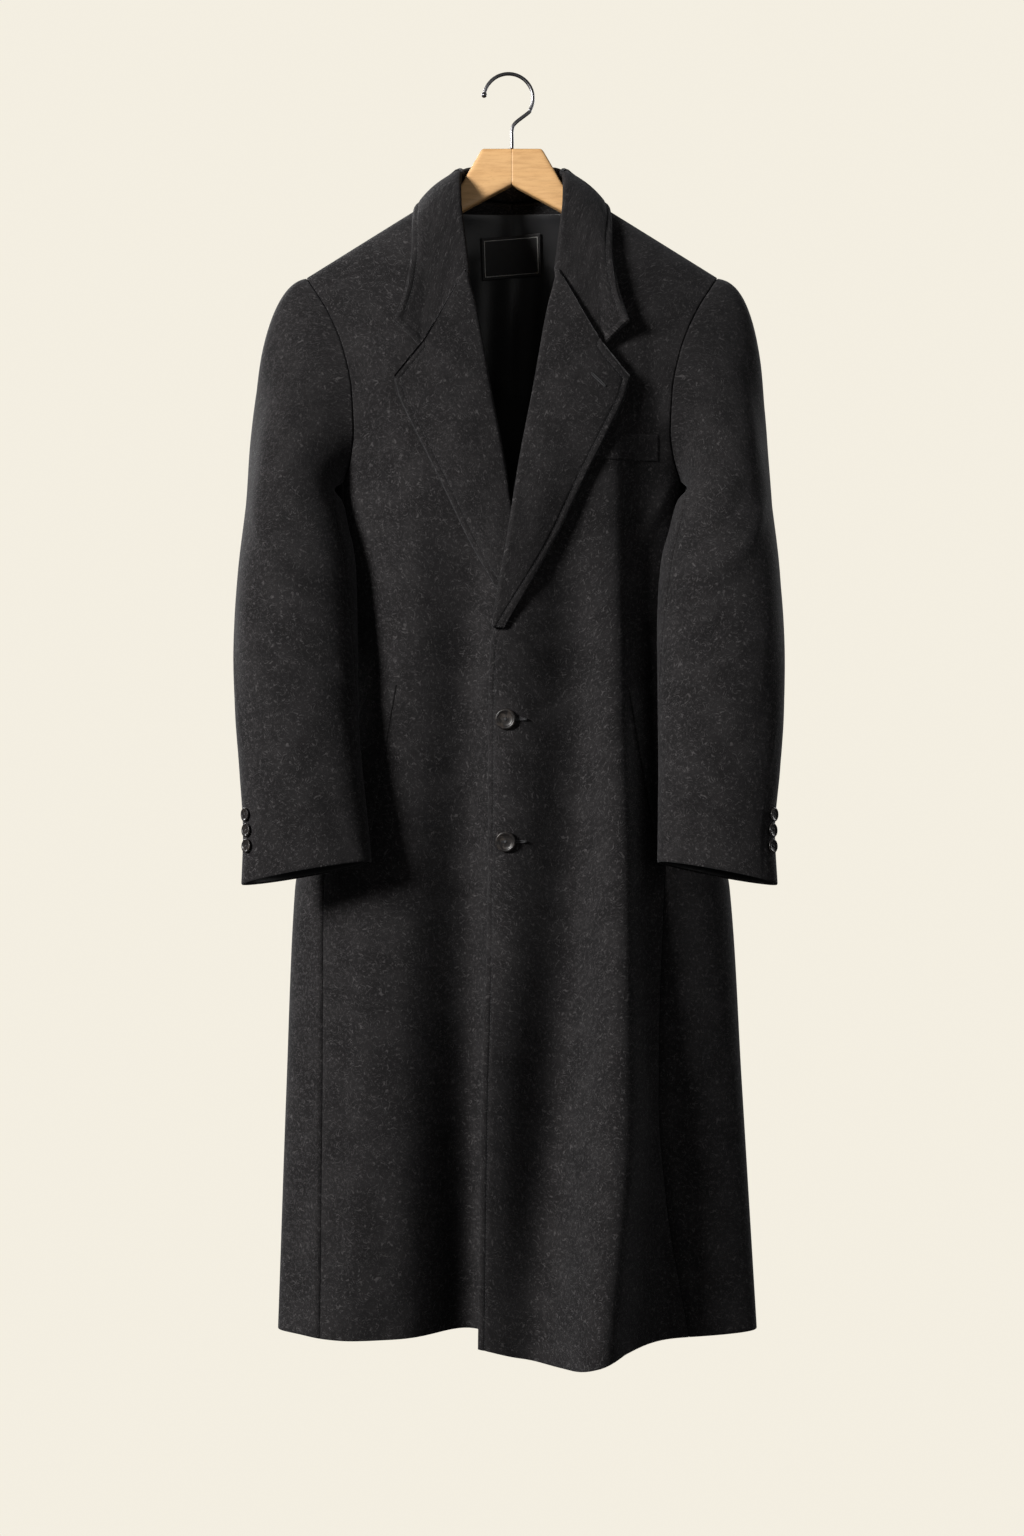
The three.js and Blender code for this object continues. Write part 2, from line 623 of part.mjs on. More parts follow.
/** Moves a sleeve point out of the body, along the line from a place inside the body's side. */
function clearOfBody(side, point, room) {
  const { z } = point;
  if (z > ARMPIT_Z + 2) return point;
  const half = halfWidth(side, z) + room;
  const line = column(BODY, "side", z);
  const [front, back] = [column(BODY, "front", z) + room, column(BODY, "back", z) + room];
  const inside = (x, y) => {
    const depth = y < line ? front : back;
    const power = y < line ? 2 : 3.2;
    return Math.abs(x / half) ** power + Math.abs((y - line) / depth) ** power;
  };
  if (inside(point.x, point.y) >= 1) return point;
  const from = new THREE.Vector3(side * (half - 90), line, z);
  let [low, high] = [1, 12];
  for (let i = 0; i < 30; i++) {
    const k = (low + high) / 2;
    const p = from.clone().lerp(point, k);
    if (inside(p.x, p.y) < 1) low = k;
    else high = k;
  }
  return from.lerp(point, high);
}

/** A point of the sleeve below the biceps, at a height and a turn around it. */
function sleeveSection(side, z, turn, down) {
  const [out, inn] = side > 0 ? ["outLeft", "inLeft"] : ["outRight", "inRight"];
  const outer = column(SLEEVE, out, z);
  const inner = column(SLEEVE, inn, z);
  const depth = column(SLEEVE, "depth", z);
  const angle = 2 * Math.PI * (turn + SLEEVE_TURN * smooth(down));
  const x = (outer + inner) / 2 + ((outer - inner) / 2) * Math.cos(angle);
  const y = column(SLEEVE, "y", z) - depth * Math.sin(angle);
  const share = smooth(down);
  const height = z - share * (CUFF_SLANT * Math.cos(angle) - CUFF_PITCH * Math.sin(angle));
  return new THREE.Vector3(side * x, y, height);
}

const BICEPS_Z = SLEEVE[0].z;
const CUFF_Z = SLEEVE[SLEEVE.length - 1].z;
const CAP_ROWS = [0, 0.12, 0.28, 0.5, 0.75];
// Direction and strength with which the cap leaves the armhole and arrives at the biceps, under the arm and on top
const CAP_START = { under: [1.2, 0, 0.6], top: [0.5, 0, 0] };
const CAP_LEAVE = { under: [6, -24, -24], top: [165, 0, -20] };
const CAP_ARRIVE = { under: [-10, -20, -45], top: [14, -20, -230] };
const SLEEVE_ROOM = 3; // between the sleeve and the body
const TUBE_ROWS = [0, 0.15, 0.3, 0.45, 0.6, 0.75, 0.9, 1];

/** Blend of a vector under the arm and one on top of it, on one side of the coat. */
function capVector(side, { under, top }, share) {
  const [x, y, z] = [0, 1, 2].map((i) => lerp(under[i], top[i], share));
  return new THREE.Vector3(side * x, y, z);
}

/** A point of the sleeve's cap, share t of the way from the armhole to the biceps. */
function capPoint(side, { point, turn }, t) {
  const top = (1 + Math.cos(2 * Math.PI * turn)) / 2;
  const start = point.clone().add(capVector(side, CAP_START, top));
  const end = sleeveSection(side, BICEPS_Z, turn, 0);
  const [t2, t3] = [t * t, t * t * t];
  return new THREE.Vector3()
    .addScaledVector(start, 2 * t3 - 3 * t2 + 1)
    .addScaledVector(capVector(side, CAP_LEAVE, top), t3 - 2 * t2 + t)
    .addScaledVector(end, 3 * t2 - 2 * t3)
    .addScaledVector(capVector(side, CAP_ARRIVE, top), t3 - t2);
}

/** Room that the cap keeps from the body, more behind the arm, where the back bulges. */
function capRoom(turn, t) {
  const behind = smooth((turn - 0.5) / 0.06) * (1 - smooth((turn - 0.66) / 0.06));
  return 1.2 + 1.8 * smooth(t / 0.5) + 2.6 * behind;
}

/** The whole sleeve as rows of a ring of places, from the armhole to the cuff, and each column's turn. */
function sleeveRings(side) {
  const armhole = armholeRing(side);
  const cap = CAP_ROWS.map((t) =>
    armhole.map((place) => {
      const point = capPoint(side, place, t);
      return t === 0 ? point : clearOfBody(side, point, capRoom(place.turn, t));
    }),
  );
  const tube = TUBE_ROWS.map((t) =>
    armhole.map(({ turn }) => {
      const point = sleeveSection(side, lerp(BICEPS_Z, CUFF_Z, t), turn, t);
      return clearOfBody(side, point, SLEEVE_ROOM);
    }),
  );
  return { places: gridNormals([...cap, ...tube], side, true), turns: armhole.map(({ turn }) => turn) };
}

const towards = (a, b) => b.point.clone().sub(a.point).normalize();

/** One of the two pieces of a sleeve, between its two seams. */
function sleevePiece(side, upper) {
  const { places, turns } = sleeveRings(side);
  const nearest = (want) =>
    turns.reduce((best, turn, i) => (Math.abs(turn - want) < Math.abs(turns[best] - want) ? i : best), 0);
  const [inner, elbow] = [nearest(INNER_SEAM), nearest(ELBOW_SEAM)];
  const columns = turns.map((_, i) => i);
  const picked = upper
    ? [...columns.slice(elbow), ...columns.slice(0, inner + 1)]
    : columns.slice(inner, elbow + 1);
  const last = picked.length - 1;
  const grid = places.map((row) =>
    picked.map((i, k) => {
      const { point, normal } = row[i];
      const place = { point: point.clone(), normal };
      if (k === 0) place.point.addScaledVector(towards(row[i], row[picked[1]]), SEAM / 2);
      if (k === last) place.point.addScaledVector(towards(row[i], row[picked[last - 1]]), SEAM / 2);
      return place;
    }),
  );
  return wall(grid, CLOTH);
}

/** Short lining that shows inside the cuff. */
function cuffLining(side) {
  const { places } = sleeveRings(side);
  const rows = places.slice(-3).map((row) =>
    row.map(({ point, normal }) => {
      return { point: point.clone().addScaledVector(normal, -(CLOTH + CUFF_ROOM)), normal };
    }),
  );
  rows[2].forEach((place, i) => place.point.lerp(rows[1][i].point, CUFF_INSET));
  return wall(rows, SATIN, true);
}

/** Lapel: it turns over at the roll line and lies back on the front. */
function lapel(side) {
  const shares = [0, 0.08, 0.17, 0.28, 0.4, 0.52, 0.64, 0.76, 0.87, 0.95, 1];
  const turns = [0, 0.35, 0.7, 1];
  const flats = [0.12, 0.28, 0.45, 0.62, 0.8, 0.93, 1];
  const tip = LAPEL_EDGE[LAPEL_EDGE.length - 1];
  const points = shares.map((v) => {
    const rollZ = lerp(LAPEL_FOOT_Z, GORGE_Z - 2, v);
    const rollX = column(EDGE, "x", rollZ);
    const inner = rollX + COLLAR_TURN;
    const edge = { x: along(LAPEL_EDGE, "x", v), z: along(LAPEL_EDGE, "z", v) };
    const base = frontY(side, side * inner, rollZ) - 0.7;
    const row = turns.map((t) => {
      const angle = Math.PI * (0.5 + t);
      const x = inner + COLLAR_TURN * Math.cos(angle) - 0.35 * (1 - t);
      return new THREE.Vector3(side * x, base - COLLAR_TURN + COLLAR_TURN * Math.sin(angle), rollZ);
    });
    const start = row[row.length - 1];
    const startLift = start.y - frontY(side, start.x, start.z);
    const edgeLift = -lerp(LAPEL_LIFT.foot, LAPEL_LIFT.head, smooth(v));
    const belly = LAPEL_BELLY * smooth((v - 0.25) * 3);
    for (const u of flats) {
      const near = Math.max(0, 1 - Math.abs(u / LAPEL_NOTCH_SHARE - 1));
      const bend = 0.9 * smooth((v - 0.6) / 0.4) * near;
      const x = lerp(inner, edge.x, u) + bend * (NOTCH.x - lerp(rollX, edge.x, LAPEL_NOTCH_SHARE));
      const z = lerp(rollZ, edge.z, u) + bend * (NOTCH.z - lerp(GORGE_Z, tip.z, LAPEL_NOTCH_SHARE));
      const free = lerp(startLift, edgeLift, u) - belly * Math.sin(Math.PI * u);
      const raised = Math.min(free, -(FOLDED + LAPEL_REST));
      row.push(new THREE.Vector3(side * x, frontY(side, side * x, z) + raised, z));
    }
    return row;
  });
  return wall(gridNormals(points, side), FOLDED);
}

/** Collar: the stand rises from the neck seam, turns over at the roll, and the fall covers the seam. */
function collar() {
  const count = 13; // rows from the centre back to one end
  const stands = [0, 0.5, 1];
  const turns = [0.25, 0.5, 0.75, 1];
  const falls = [0.15, 0.32, 0.5, 0.68, 0.85, 1];
  const station = (t) => Object.fromEntries(Object.keys(COLLAR[0]).map((name) => [name, along(COLLAR, name, t)]));
  const half = Array.from({ length: count }, (_, i) => {
    const t = i / (count - 1);
    const s = station(t);
    const up = new THREE.Vector3(s.ux, s.uy, s.uz).normalize();
    const out = new THREE.Vector3(s.ox, s.oy, s.oz);
    out.addScaledVector(up, -out.dot(up)).normalize();
    const onSeam = Math.abs(t - SHOULDER_STATION) < 0.02;
    const y = t < SHOULDER_STATION ? backY(s.sx, s.sz) : frontY(1, s.sx, s.sz);
    const seam = new THREE.Vector3(s.sx, onSeam ? 0 : y, s.sz).addScaledVector(up, COLLAR_RISE);
    seam.addScaledVector(out, -CLOTH);
    const rise = Math.max(s.stand - COLLAR_TURN, 0.6);
    const top = seam.clone().addScaledVector(up, rise);
    const row = stands.map((k) => seam.clone().lerp(top, k));
    const centre = top.clone().addScaledVector(out, COLLAR_TURN);
    for (const k of turns)
      row.push(
        centre
          .clone()
          .addScaledVector(out, -COLLAR_TURN * Math.cos(Math.PI * k))
          .addScaledVector(up, COLLAR_TURN * Math.sin(Math.PI * k)),
      );
    const start = row[row.length - 1];
    const edge = new THREE.Vector3(s.ex, s.ey, s.ez);
    const end = smooth((t - 0.72) / 0.28);
    for (const k of falls) {
      const p = start.clone().lerp(edge, k);
      const bulge = Math.sin(Math.PI * k);
      p.addScaledVector(out, lerp(5, 2.5, t) * bulge);
      const beyond = k < COLLAR_NOTCH_SHARE ? COLLAR_NOTCH_SHARE : 1 - COLLAR_NOTCH_SHARE;
      const bend = end * (1 - Math.abs(k - COLLAR_NOTCH_SHARE) / beyond);
      p.x += bend * (NOTCH.x - lerp(start.x, edge.x, COLLAR_NOTCH_SHARE));
      p.z += bend * (NOTCH.z + 1.5 - lerp(start.z, edge.z, COLLAR_NOTCH_SHARE));
      row.push(p);
    }
    return row;
  });
  const mirrored = half
    .slice(1)
    .reverse()
    .map((row) => row.map((p) => new THREE.Vector3(-p.x, p.y, p.z)));
  return wall(gridNormals([...mirrored, ...half], 1), FOLDED);
}

/** Half the width of the lining at a height: narrower than the body, and in to the neck above the armpit. */
function liningHalf(z) {
  const body = halfWidth(1, z) - 34;
  return z > ARMPIT_Z ? Math.min(body, lerp(158, 66, smooth((z - ARMPIT_Z) / 300))) : body;
}

/** Lining of the back, which shows through the neck. */
function backLining() {
  const shares = [0, 0.08, 0.17, 0.27, 0.37, 0.47, 0.57, 0.67, 0.76, 0.83, 0.88, 0.92, 0.945, 0.965, 0.985, 1];
  const columns = Array.from({ length: 13 }, (_, c) => c / 6 - 1);
  const rows = shares.map((t) => {
    const z = lerp(LINING.hem, LINING.top, t);
    const room = LINING.room + (z < VENT_Z + 30 ? LINING.ventRoom : 0);
    return columns.map((share) => {
      const x = share * liningHalf(z);
      const place = backPoint(x, z);
      const pleat = LINING.pleat * Math.exp(-((x / LINING.pleatReach) ** 2));
      place.point.addScaledVector(place.normal, -(2 * CLOTH + room + pleat));
      return place;
    });
  });
  return wall(rows, SATIN);
}

/** A welt or other patch made from a face's own points, moved out. Corners run along its lower and upper edge. */
function patch(face, lower, upper, across, thick, room) {
  const rows = [0, 0.5, 1].map((v) =>
    Array.from({ length: across + 1 }, (_, i) => {
      const u = i / across;
      const x = lerp(lerp(lower[0].x, lower[1].x, u), lerp(upper[0].x, upper[1].x, u), v);
      const z = lerp(lerp(lower[0].z, lower[1].z, u), lerp(upper[0].z, upper[1].z, u), v);
      const place = face(x, z);
      place.point.addScaledVector(place.normal, thick + room);
      return place;
    }),
  );
  return wall(rows, thick);
}

const corner = (x, z) => ({ x, z });
const WELT_ROOM = 1; // under a welt
const CHEST_WELT = {
  lower: [corner(64, -433), corner(158, -429)],
  upper: [corner(64, -405), corner(158, -401)],
};
const HIP_WELT = {
  lower: [corner(152, -832), corner(188, -822)],
  upper: [corner(124, -672), corner(158, -662)],
};
const LABEL_CORNERS = {
  lower: [corner(-33, -216), corner(33, -211)],
  upper: [corner(-34.5, -170), corner(31.5, -165)],
};

function chestWelt() {
  const face = (x, z) => frontPoint(1, x, z);
  return patch(face, CHEST_WELT.lower, CHEST_WELT.upper, 9, WELT, WELT_ROOM);
}

function hipWelt(side) {
  const face = (x, z) => frontPoint(side, x, z);
  const mirrored = (corners) => corners.map(({ x, z }) => corner(side * x, z));
  return patch(face, mirrored(HIP_WELT.lower), mirrored(HIP_WELT.upper), 4, WELT, WELT_ROOM);
}

/** Dished button turned about its own axis, which points up before it is placed. */
function buttonShape(diameter, segments) {
  const r = diameter / 2;
  const profile = [
    [0, 0],
    [0.62, 0],
    [0.95, 0.07],
    [1, 0.16],
    [0.95, 0.27],
    [0.8, 0.29],
    [0.66, 0.2],
    [0.3, 0.17],
    [0, 0.17],
  ];
  return new THREE.LatheGeometry(profile.map(([a, b]) => new THREE.Vector2(a * r, b * r)), segments);
}

function hangerArm(side) {
  const corners = 4;
  const rows = HANGER.map(({ x, top, bottom, y, half }) => {
    const soft = Math.min(half, (top - bottom) / 2) * 0.55;
    const ring = [];
    for (const [sy, sz, from] of [
      [1, 1, 0],
      [-1, 1, 1],
      [-1, -1, 2],
      [1, -1, 3],
    ])
      for (let i = 0; i < corners; i++) {
        const angle = (Math.PI / 2) * (from + i / (corners - 1));
        const cy = y + sy * (half - soft);
        const cz = sz > 0 ? top - soft : bottom + soft;
        ring.push(new THREE.Vector3(side * x, cy + soft * Math.cos(angle), cz + soft * Math.sin(angle)));
      }
    return ring;
  });
  return loft(rows);
}

/** Solid through closed rings of points, with a flat cap at each end. */
function loft(rings) {
  const n = rings[0].length;
  const vertices = rings.flat().flatMap((p) => [p.x, p.y, p.z]);
  const faces = [];
  for (let r = 0; r < rings.length - 1; r++)
    for (let c = 0; c < n; c++) {
      const [a, b] = [r * n + c, r * n + ((c + 1) % n)];
      faces.push(a, b, b + n, a, b + n, a + n);
    }
  const last = (rings.length - 1) * n;
  for (let c = 1; c < n - 1; c++) faces.push(0, c + 1, c, last, last + c, last + c + 1);
  const geometry = new THREE.BufferGeometry();
  geometry.setAttribute("position", new THREE.Float32BufferAttribute(vertices, 3));
  geometry.setIndex(faces);
  return facingOut(geometry);
}

/** Round wire bent up from the hanger's middle into an open hook. */
function hook() {
  const centre = { x: -HOOK_SHIFT, z: -Math.sqrt((HOOK_RADIUS - WIRE / 2) ** 2 - HOOK_SHIFT ** 2) };
  const onArc = (degrees) => {
    const a = THREE.MathUtils.degToRad(degrees);
    return new THREE.Vector3(centre.x + HOOK_RADIUS * Math.cos(a), 0, centre.z + HOOK_RADIUS * Math.sin(a));
  };
  const points = SHANK.map(({ x, z }) => new THREE.Vector3(x, 0, z));
  for (let a = HOOK_ARC.from; a <= HOOK_ARC.to; a += HOOK_ARC.step) points.push(onArc(a));
  const path = new THREE.CatmullRomCurve3(points, false, "centripetal");
  const section = new THREE.Shape();
  const sides = 8;
  for (let i = 0; i < sides; i++) {
    const a = (2 * Math.PI * i) / sides;
    section[i ? "lineTo" : "moveTo"]((WIRE / 2) * Math.cos(a), (WIRE / 2) * Math.sin(a));
  }
  section.closePath();
  return new THREE.ExtrudeGeometry(section, { steps: 40, extrudePath: path, bevelEnabled: false });
}

function neckLabel() {
  const face = (x, z) => {
    const place = backPoint(x, z);
    place.point.addScaledVector(place.normal, -(2 * CLOTH + LINING.room + SATIN + LABEL.room));
    place.normal.negate();
    return place;
  };
  return patch(face, LABEL_CORNERS.lower, LABEL_CORNERS.upper, 4, LABEL.thick, LABEL.lift);
}

const finish = (color, roughness, metalness = 0) => new THREE.MeshStandardMaterial({ color, roughness, metalness });
const coat = new THREE.Group();

function add(name, geometry, material) {
  const mesh = new THREE.Mesh(geometry, material);
  mesh.name = name;
  coat.add(mesh);
  return mesh;
}

/** A button laid on a face with a little room under it. */
function addButton(name, place, diameter, segments, room) {
  const mesh = add(name, buttonShape(diameter, segments), finish(COLORS.button, 0.3));
  mesh.position.copy(place.point).addScaledVector(place.normal, room);
  mesh.quaternion.setFromUnitVectors(new THREE.Vector3(0, 1, 0), place.normal);
}

/** A place on the outside of the sleeve, at a height and a turn around it. */
function sleevePlace(side, z, turn) {
  const at = (zAt, turnAt) => sleeveSection(side, zAt, turnAt, (BICEPS_Z - zAt) / (BICEPS_Z - CUFF_Z));
  const across = at(z, turn + 0.01).sub(at(z, turn - 0.01));
  const rise = at(z + 1, turn).sub(at(z - 1, turn));
  return { point: at(z, turn), normal: across.cross(rise).multiplyScalar(-side).normalize() };
}

for (const side of [1, -1]) {
  const name = sideName(side);
  const wool = finish(COLORS.wool, 0.95);
  add("front_" + name, frontPanel(side, side > 0 ? 17 : 14), wool);
  add("side_" + name, sidePanel(side), wool);
  add("back_" + name, backPanel(side, 9), wool);
  add("sleeve_top_" + name, sleevePiece(side, true), wool);
  add("sleeve_under_" + name, sleevePiece(side, false), wool);
  add("lapel_" + name, lapel(side), wool);
  add("hip_welt_" + name, hipWelt(side), wool);
  add("cuff_lining_" + name, cuffLining(side), finish(COLORS.satin, 0.4));
  add("hanger_arm_" + name, hangerArm(side), finish(COLORS.wood, 0.45));
  CUFF_BUTTON_Z.forEach((z, i) => {
    addButton(`cuff_button_${name}_${i + 1}`, sleevePlace(side, z, CUFF_BUTTON_TURN), CUFF_BUTTON, 12, 1);
  });
}
add("collar", collar(), finish(COLORS.wool, 0.95));
add("chest_welt", chestWelt(), finish(COLORS.wool, 0.95));
add("back_lining", backLining(), finish(COLORS.satin, 0.4));
add("neck_label", neckLabel(), finish(COLORS.satin, 0.5));
add("hook", hook(), finish(COLORS.steel, 0.3, 1));
FRONT_BUTTON_Z.forEach((z, i) => {
  addButton("front_button_" + (i + 1), frontPoint(1, FRONT_BUTTON_X, z), FRONT_BUTTON, 22, BUTTON_ROOM);
});

export default coat;
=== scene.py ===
"""Dresses a long wool overcoat on its wooden hanger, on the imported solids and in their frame.

Shapes are worked out in millimetres, as the solids are, and turned to metres when a mesh is made.
"""

import logging
import math
from dataclasses import dataclass, field
from enum import Enum
from typing import Callable

import bmesh
import bpy
import numpy as np
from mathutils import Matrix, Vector


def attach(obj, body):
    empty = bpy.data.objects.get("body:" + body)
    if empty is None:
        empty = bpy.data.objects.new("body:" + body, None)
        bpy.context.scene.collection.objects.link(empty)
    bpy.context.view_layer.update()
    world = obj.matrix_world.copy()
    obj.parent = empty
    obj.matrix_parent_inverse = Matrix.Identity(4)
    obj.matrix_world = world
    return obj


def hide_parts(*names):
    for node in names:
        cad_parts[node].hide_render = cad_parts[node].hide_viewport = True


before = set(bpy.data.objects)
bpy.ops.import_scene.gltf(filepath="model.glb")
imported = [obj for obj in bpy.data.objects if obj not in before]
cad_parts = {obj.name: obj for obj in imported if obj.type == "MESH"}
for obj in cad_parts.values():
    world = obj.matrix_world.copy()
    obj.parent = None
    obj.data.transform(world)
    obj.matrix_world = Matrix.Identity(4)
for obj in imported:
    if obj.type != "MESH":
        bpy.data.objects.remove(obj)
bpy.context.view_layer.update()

log = logging.getLogger("overcoat")

Array = np.ndarray
Colour = tuple[float, float, float]

MM = 0.001
CLOTH = 2.8
FOLDED = 4.0
SATIN = 0.8
SEAM = 0.3
HEM_Z = -1381.0
ARMPIT_Z = -450.0
BREAK_Z = -641.0
GORGE_Z = -232.0
NECK_POINT = (82.0, -134.0)
SHOULDER_POINT = (226.0, -223.0)
FRONT_ROUND = 170.0
BACK_ROUND = 110.0
ROUND_POWER = 2.2
VENT_Z = -840.0
VENT_LAP = 42.0
HOLLOW_END_Z = -880.0
HOLLOW_FADE = 200.0
COLLAR_TURN = 4.5


class Side(Enum):
    """The wearer's own two sides; the value is the sign of x."""

    LEFT = 1
    RIGHT = -1

    @property
    def word(self) -> str:
        """Name of the side as it stands in the names of nodes."""
        return self.name.lower()


def smooth(share: Array | float) -> Array | float:
    """Ease a share from 0 to 1 with flat ends.

    Args:
        share: Where between 0 and 1; values outside are held at the ends.

    Returns:
        The eased share.
    """
    held = np.clip(share, 0.0, 1.0)
    return held * held * (3.0 - 2.0 * held)


def lerp(start: Array | float, end: Array | float, share: Array | float) -> Array | float:
    """Go a share of the way between two values.

    Args:
        start: Value at share 0.
        end: Value at share 1.
        share: How far to go.

    Returns:
        The value in between.
    """
    return start + (end - start) * share


def bump(distance: Array | float, reach: Array | float) -> Array | float:
    """Height of a soft round ridge of height 1.

    Args:
        distance: Distance from the crest.
        reach: Distance at which the ridge has fallen to about a third.

    Returns:
        Height at that distance.
    """
    return np.exp(-((distance / reach) ** 2))


@dataclass(frozen=True)
class Table:
    """Rows of named numbers that are read smoothly in between; the first column is the key."""

    names: tuple[str, ...]
    rows: tuple[tuple[float, ...], ...]

    def at(self, name: str, where: Array | float) -> Array:
        """Read a column at a place of the key column.

        Args:
            name: Column to read.
            where: Places on the key column.

        Returns:
            The column's values there.
        """
        keys = np.array([row[0] for row in self.rows], dtype=float)
        return self._read(keys, name, where)

    def along(self, name: str, share: Array | float) -> Array:
        """Read a column at a share of the way through the rows.

        Args:
            name: Column to read.
            share: 0 at the first row and 1 at the last.

        Returns:
            The column's values there.
        """
        keys = np.arange(len(self.rows), dtype=float)
        return self._read(keys, name, np.clip(share, 0.0, 1.0) * (len(self.rows) - 1))

    def _read(self, keys: Array, name: str, where: Array | float) -> Array:
        """Interpolate a column so that it never overshoots its rows."""
        column = self.names.index(name)
        values = np.array([row[column] for row in self.rows], dtype=float)
        if keys[0] > keys[-1]:
            keys, values = keys[::-1], values[::-1]
        steps = np.diff(values) / np.diff(keys)
        slopes = np.empty(len(keys))
        slopes[0], slopes[-1] = steps[0], steps[-1]
        before, after = steps[:-1], steps[1:]
        same = before * after > 0
        total = np.where(same, before + after, 1.0)
        slopes[1:-1] = np.where(same, 2 * before * after / total, 0.0)
        place = np.clip(np.asarray(where, dtype=float), keys[0], keys[-1])
        i = np.clip(np.searchsorted(keys, place, side="right") - 1, 0, len(keys) - 2)
        gap = keys[i + 1] - keys[i]
        s = (place - keys[i]) / gap
        s2, s3 = s * s, s * s * s
        level = values[i] * (2 * s3 - 3 * s2 + 1) + values[i + 1] * (3 * s2 - 2 * s3)
        lean = slopes[i] * gap * (s3 - 2 * s2 + s) + slopes[i + 1] * gap * (s3 - s2)
        return level + lean


BODY = Table(
    ("z", "right", "left", "side", "front", "back"),
    (
        (-130, 330, 330, 0, 56, 50),
        (-222, 300, 300, 3, 62, 52),
        (-300, 262, 262, 9, 78, 54),
        (-380, 228, 228, 17, 92, 50),
        (-450, 202, 202, 24, 99, 46),
        (-600, 196, 196, 25, 103, 45),
        (-700, 199, 199, 25, 103, 45),
        (-780, 212, 212, 25, 100, 45),
        (-897, 241, 242, 25, 92, 45),
        (-1110, 250, 255, 22, 78, 48),
        (-1381, 259, 271, 16, 60, 54),
    ),
)
EDGE = Table(
    ("z", "x"),
    (
        (-134, 56),
        (-200, 50.5),
        (-232, 46.5),
        (-267, 38),
        (-354, 22.5),
        (-433, 7.5),
        (-519, -6),
        (-580, -17),
        (-641, -24.5),
        (-709, -26),
        (-872, -26.7),
        (-1128, -33.3),
        (-1381, -36.9),
    ),
)
FRONT_SEAM = Table(
    ("z", "left", "right"),
    (
        (-450, 184, 184),
        (-600, 178, 180),
        (-760, 172, 190),
        (-900, 165, 206),
        (-1119, 158.6, 207),
        (-1229, 167.5, 208),
        (-1381, 193, 209),
    ),
)
BACK_SEAM = Table(("z", "x"), ((-450, 180), (-700, 176), (-897, 196), (-1381, 206)))
FOLD_COLUMNS = ("z", "x", "rise", "inner", "outer")
LEFT_RIDGE = Table(
    FOLD_COLUMNS,
    (
        (-330, 108, 0, 40, 24),
        (-430, 108, 12, 34, 18),
        (-700, 113, 20, 36, 18),
        (-872, 118, 32, 38, 22),
        (-1109, 117, 58, 48, 34),
        (-1381, 93, 96, 58, 46),
    ),
)
LEFT_EDGE_RIDGE = Table(
    FOLD_COLUMNS,
    (
        (-740, -24, 0, 40, 46),
        (-900, -24, 5, 40, 46),
        (-1109, -24, 17, 40, 46),
        (-1381, -26, 20, 40, 46),
    ),
)
MIDDLE_VALLEY = Table(
    FOLD_COLUMNS,
    (
        (-460, 68, 0, 44, 30),
        (-560, 68, -14, 46, 28),
        (-700, 68, -22, 46, 28),
        (-872, 66, -27, 47, 28),
        (-1109, 54, -32, 46, 30),
        (-1381, 42, -30, 46, 30),
    ),
)
RIGHT_VALLEY = Table(
    FOLD_COLUMNS,
    (
        (-460, -46, 0, 42, 28),
        (-560, -50, -18, 38, 28),
        (-700, -50, -26, 40, 28),
        (-872, -50, -33, 41, 30),
        (-1109, -50, -48, 42, 34),
        (-1381, -50, -58, 44, 36),
    ),
)
RIGHT_RIDGE = Table(
    FOLD_COLUMNS,
    (
        (-440, -140, 2, 44, 40),
        (-700, -150, 8, 44, 44),
        (-1109, -165, 12, 50, 44),
        (-1381, -185, 20, 50, 46),
    ),
)
HEM_DROP = Table(("x", "fall"), ((-60, 0), (-28, 6), (10, 17), (42, 22), (62, 18.5), (88, 9), (120, 0)))
HEM_DROP_RISE = 300.0
BACK_FLARE = Table(
    FOLD_COLUMNS,
    (
        (-640, 104, 0, 46, 46),
        (-900, 112, 5, 46, 46),
        (-1381, 124, -13, 42, 44),
    ),
)
LAPEL_EDGE = Table(
    ("x", "z"),
    (
        (-9, -613),
        (3.5, -592),
        (19, -567),
        (45.6, -520),
        (77.3, -454),
        (122, -360),
        (127, -339),
    ),
)
NOTCH = (97.0, -309.0)
ARMHOLE_FRONT = Table(
    ("x", "z"),
    ((184, -450), (175, -422), (171.5, -395), (173, -355), (182, -310), (199, -268), (226, -223)),
)
ARMHOLE_BACK = Table(
    ("x", "z"),
    ((180, -450), (176, -410), (176, -360), (185, -300), (203, -257), (226, -223)),
)
NECK_FRONT = Table(("x", "z"), ((56, -228), (66, -196), (76, -164), (82, -134)))
NECK_BACK = Table(("x", "z"), ((0, -131), (45, -130), (72, -131), (82, -134)))
SLEEVE = Table(
    ("z", "out_right", "in_right", "out_left", "in_left", "y", "depth"),
    (
        (-475, 292, 182, 284, 176, -10, 64),
        (-548, 297, 169, 290, 160, -36, 60),
        (-630, 299, 166, 293, 156, -57, 53),
        (-694, 296, 165, 291, 156, -68, 48),
        (-755, 290, 161, 286, 156, -78, 43),
        (-820, 285.5, 154, 280, 155, -88, 37),
        (-873, 287, 148.5, 282, 154, -95, 30),
    ),
)
BICEPS_Z = -475.0
CUFF_Z = -873.0
CUFF_SLANT = 12.0
CUFF_PITCH = 5.0
SLEEVE_TURN = 0.13
INNER_SEAM = 0.4
ELBOW_SEAM = 0.8
CUFF_BUTTON_TURN = 0.945
CUFF_BUTTON_HEIGHTS = (-802.0, -818.5, -835.0)
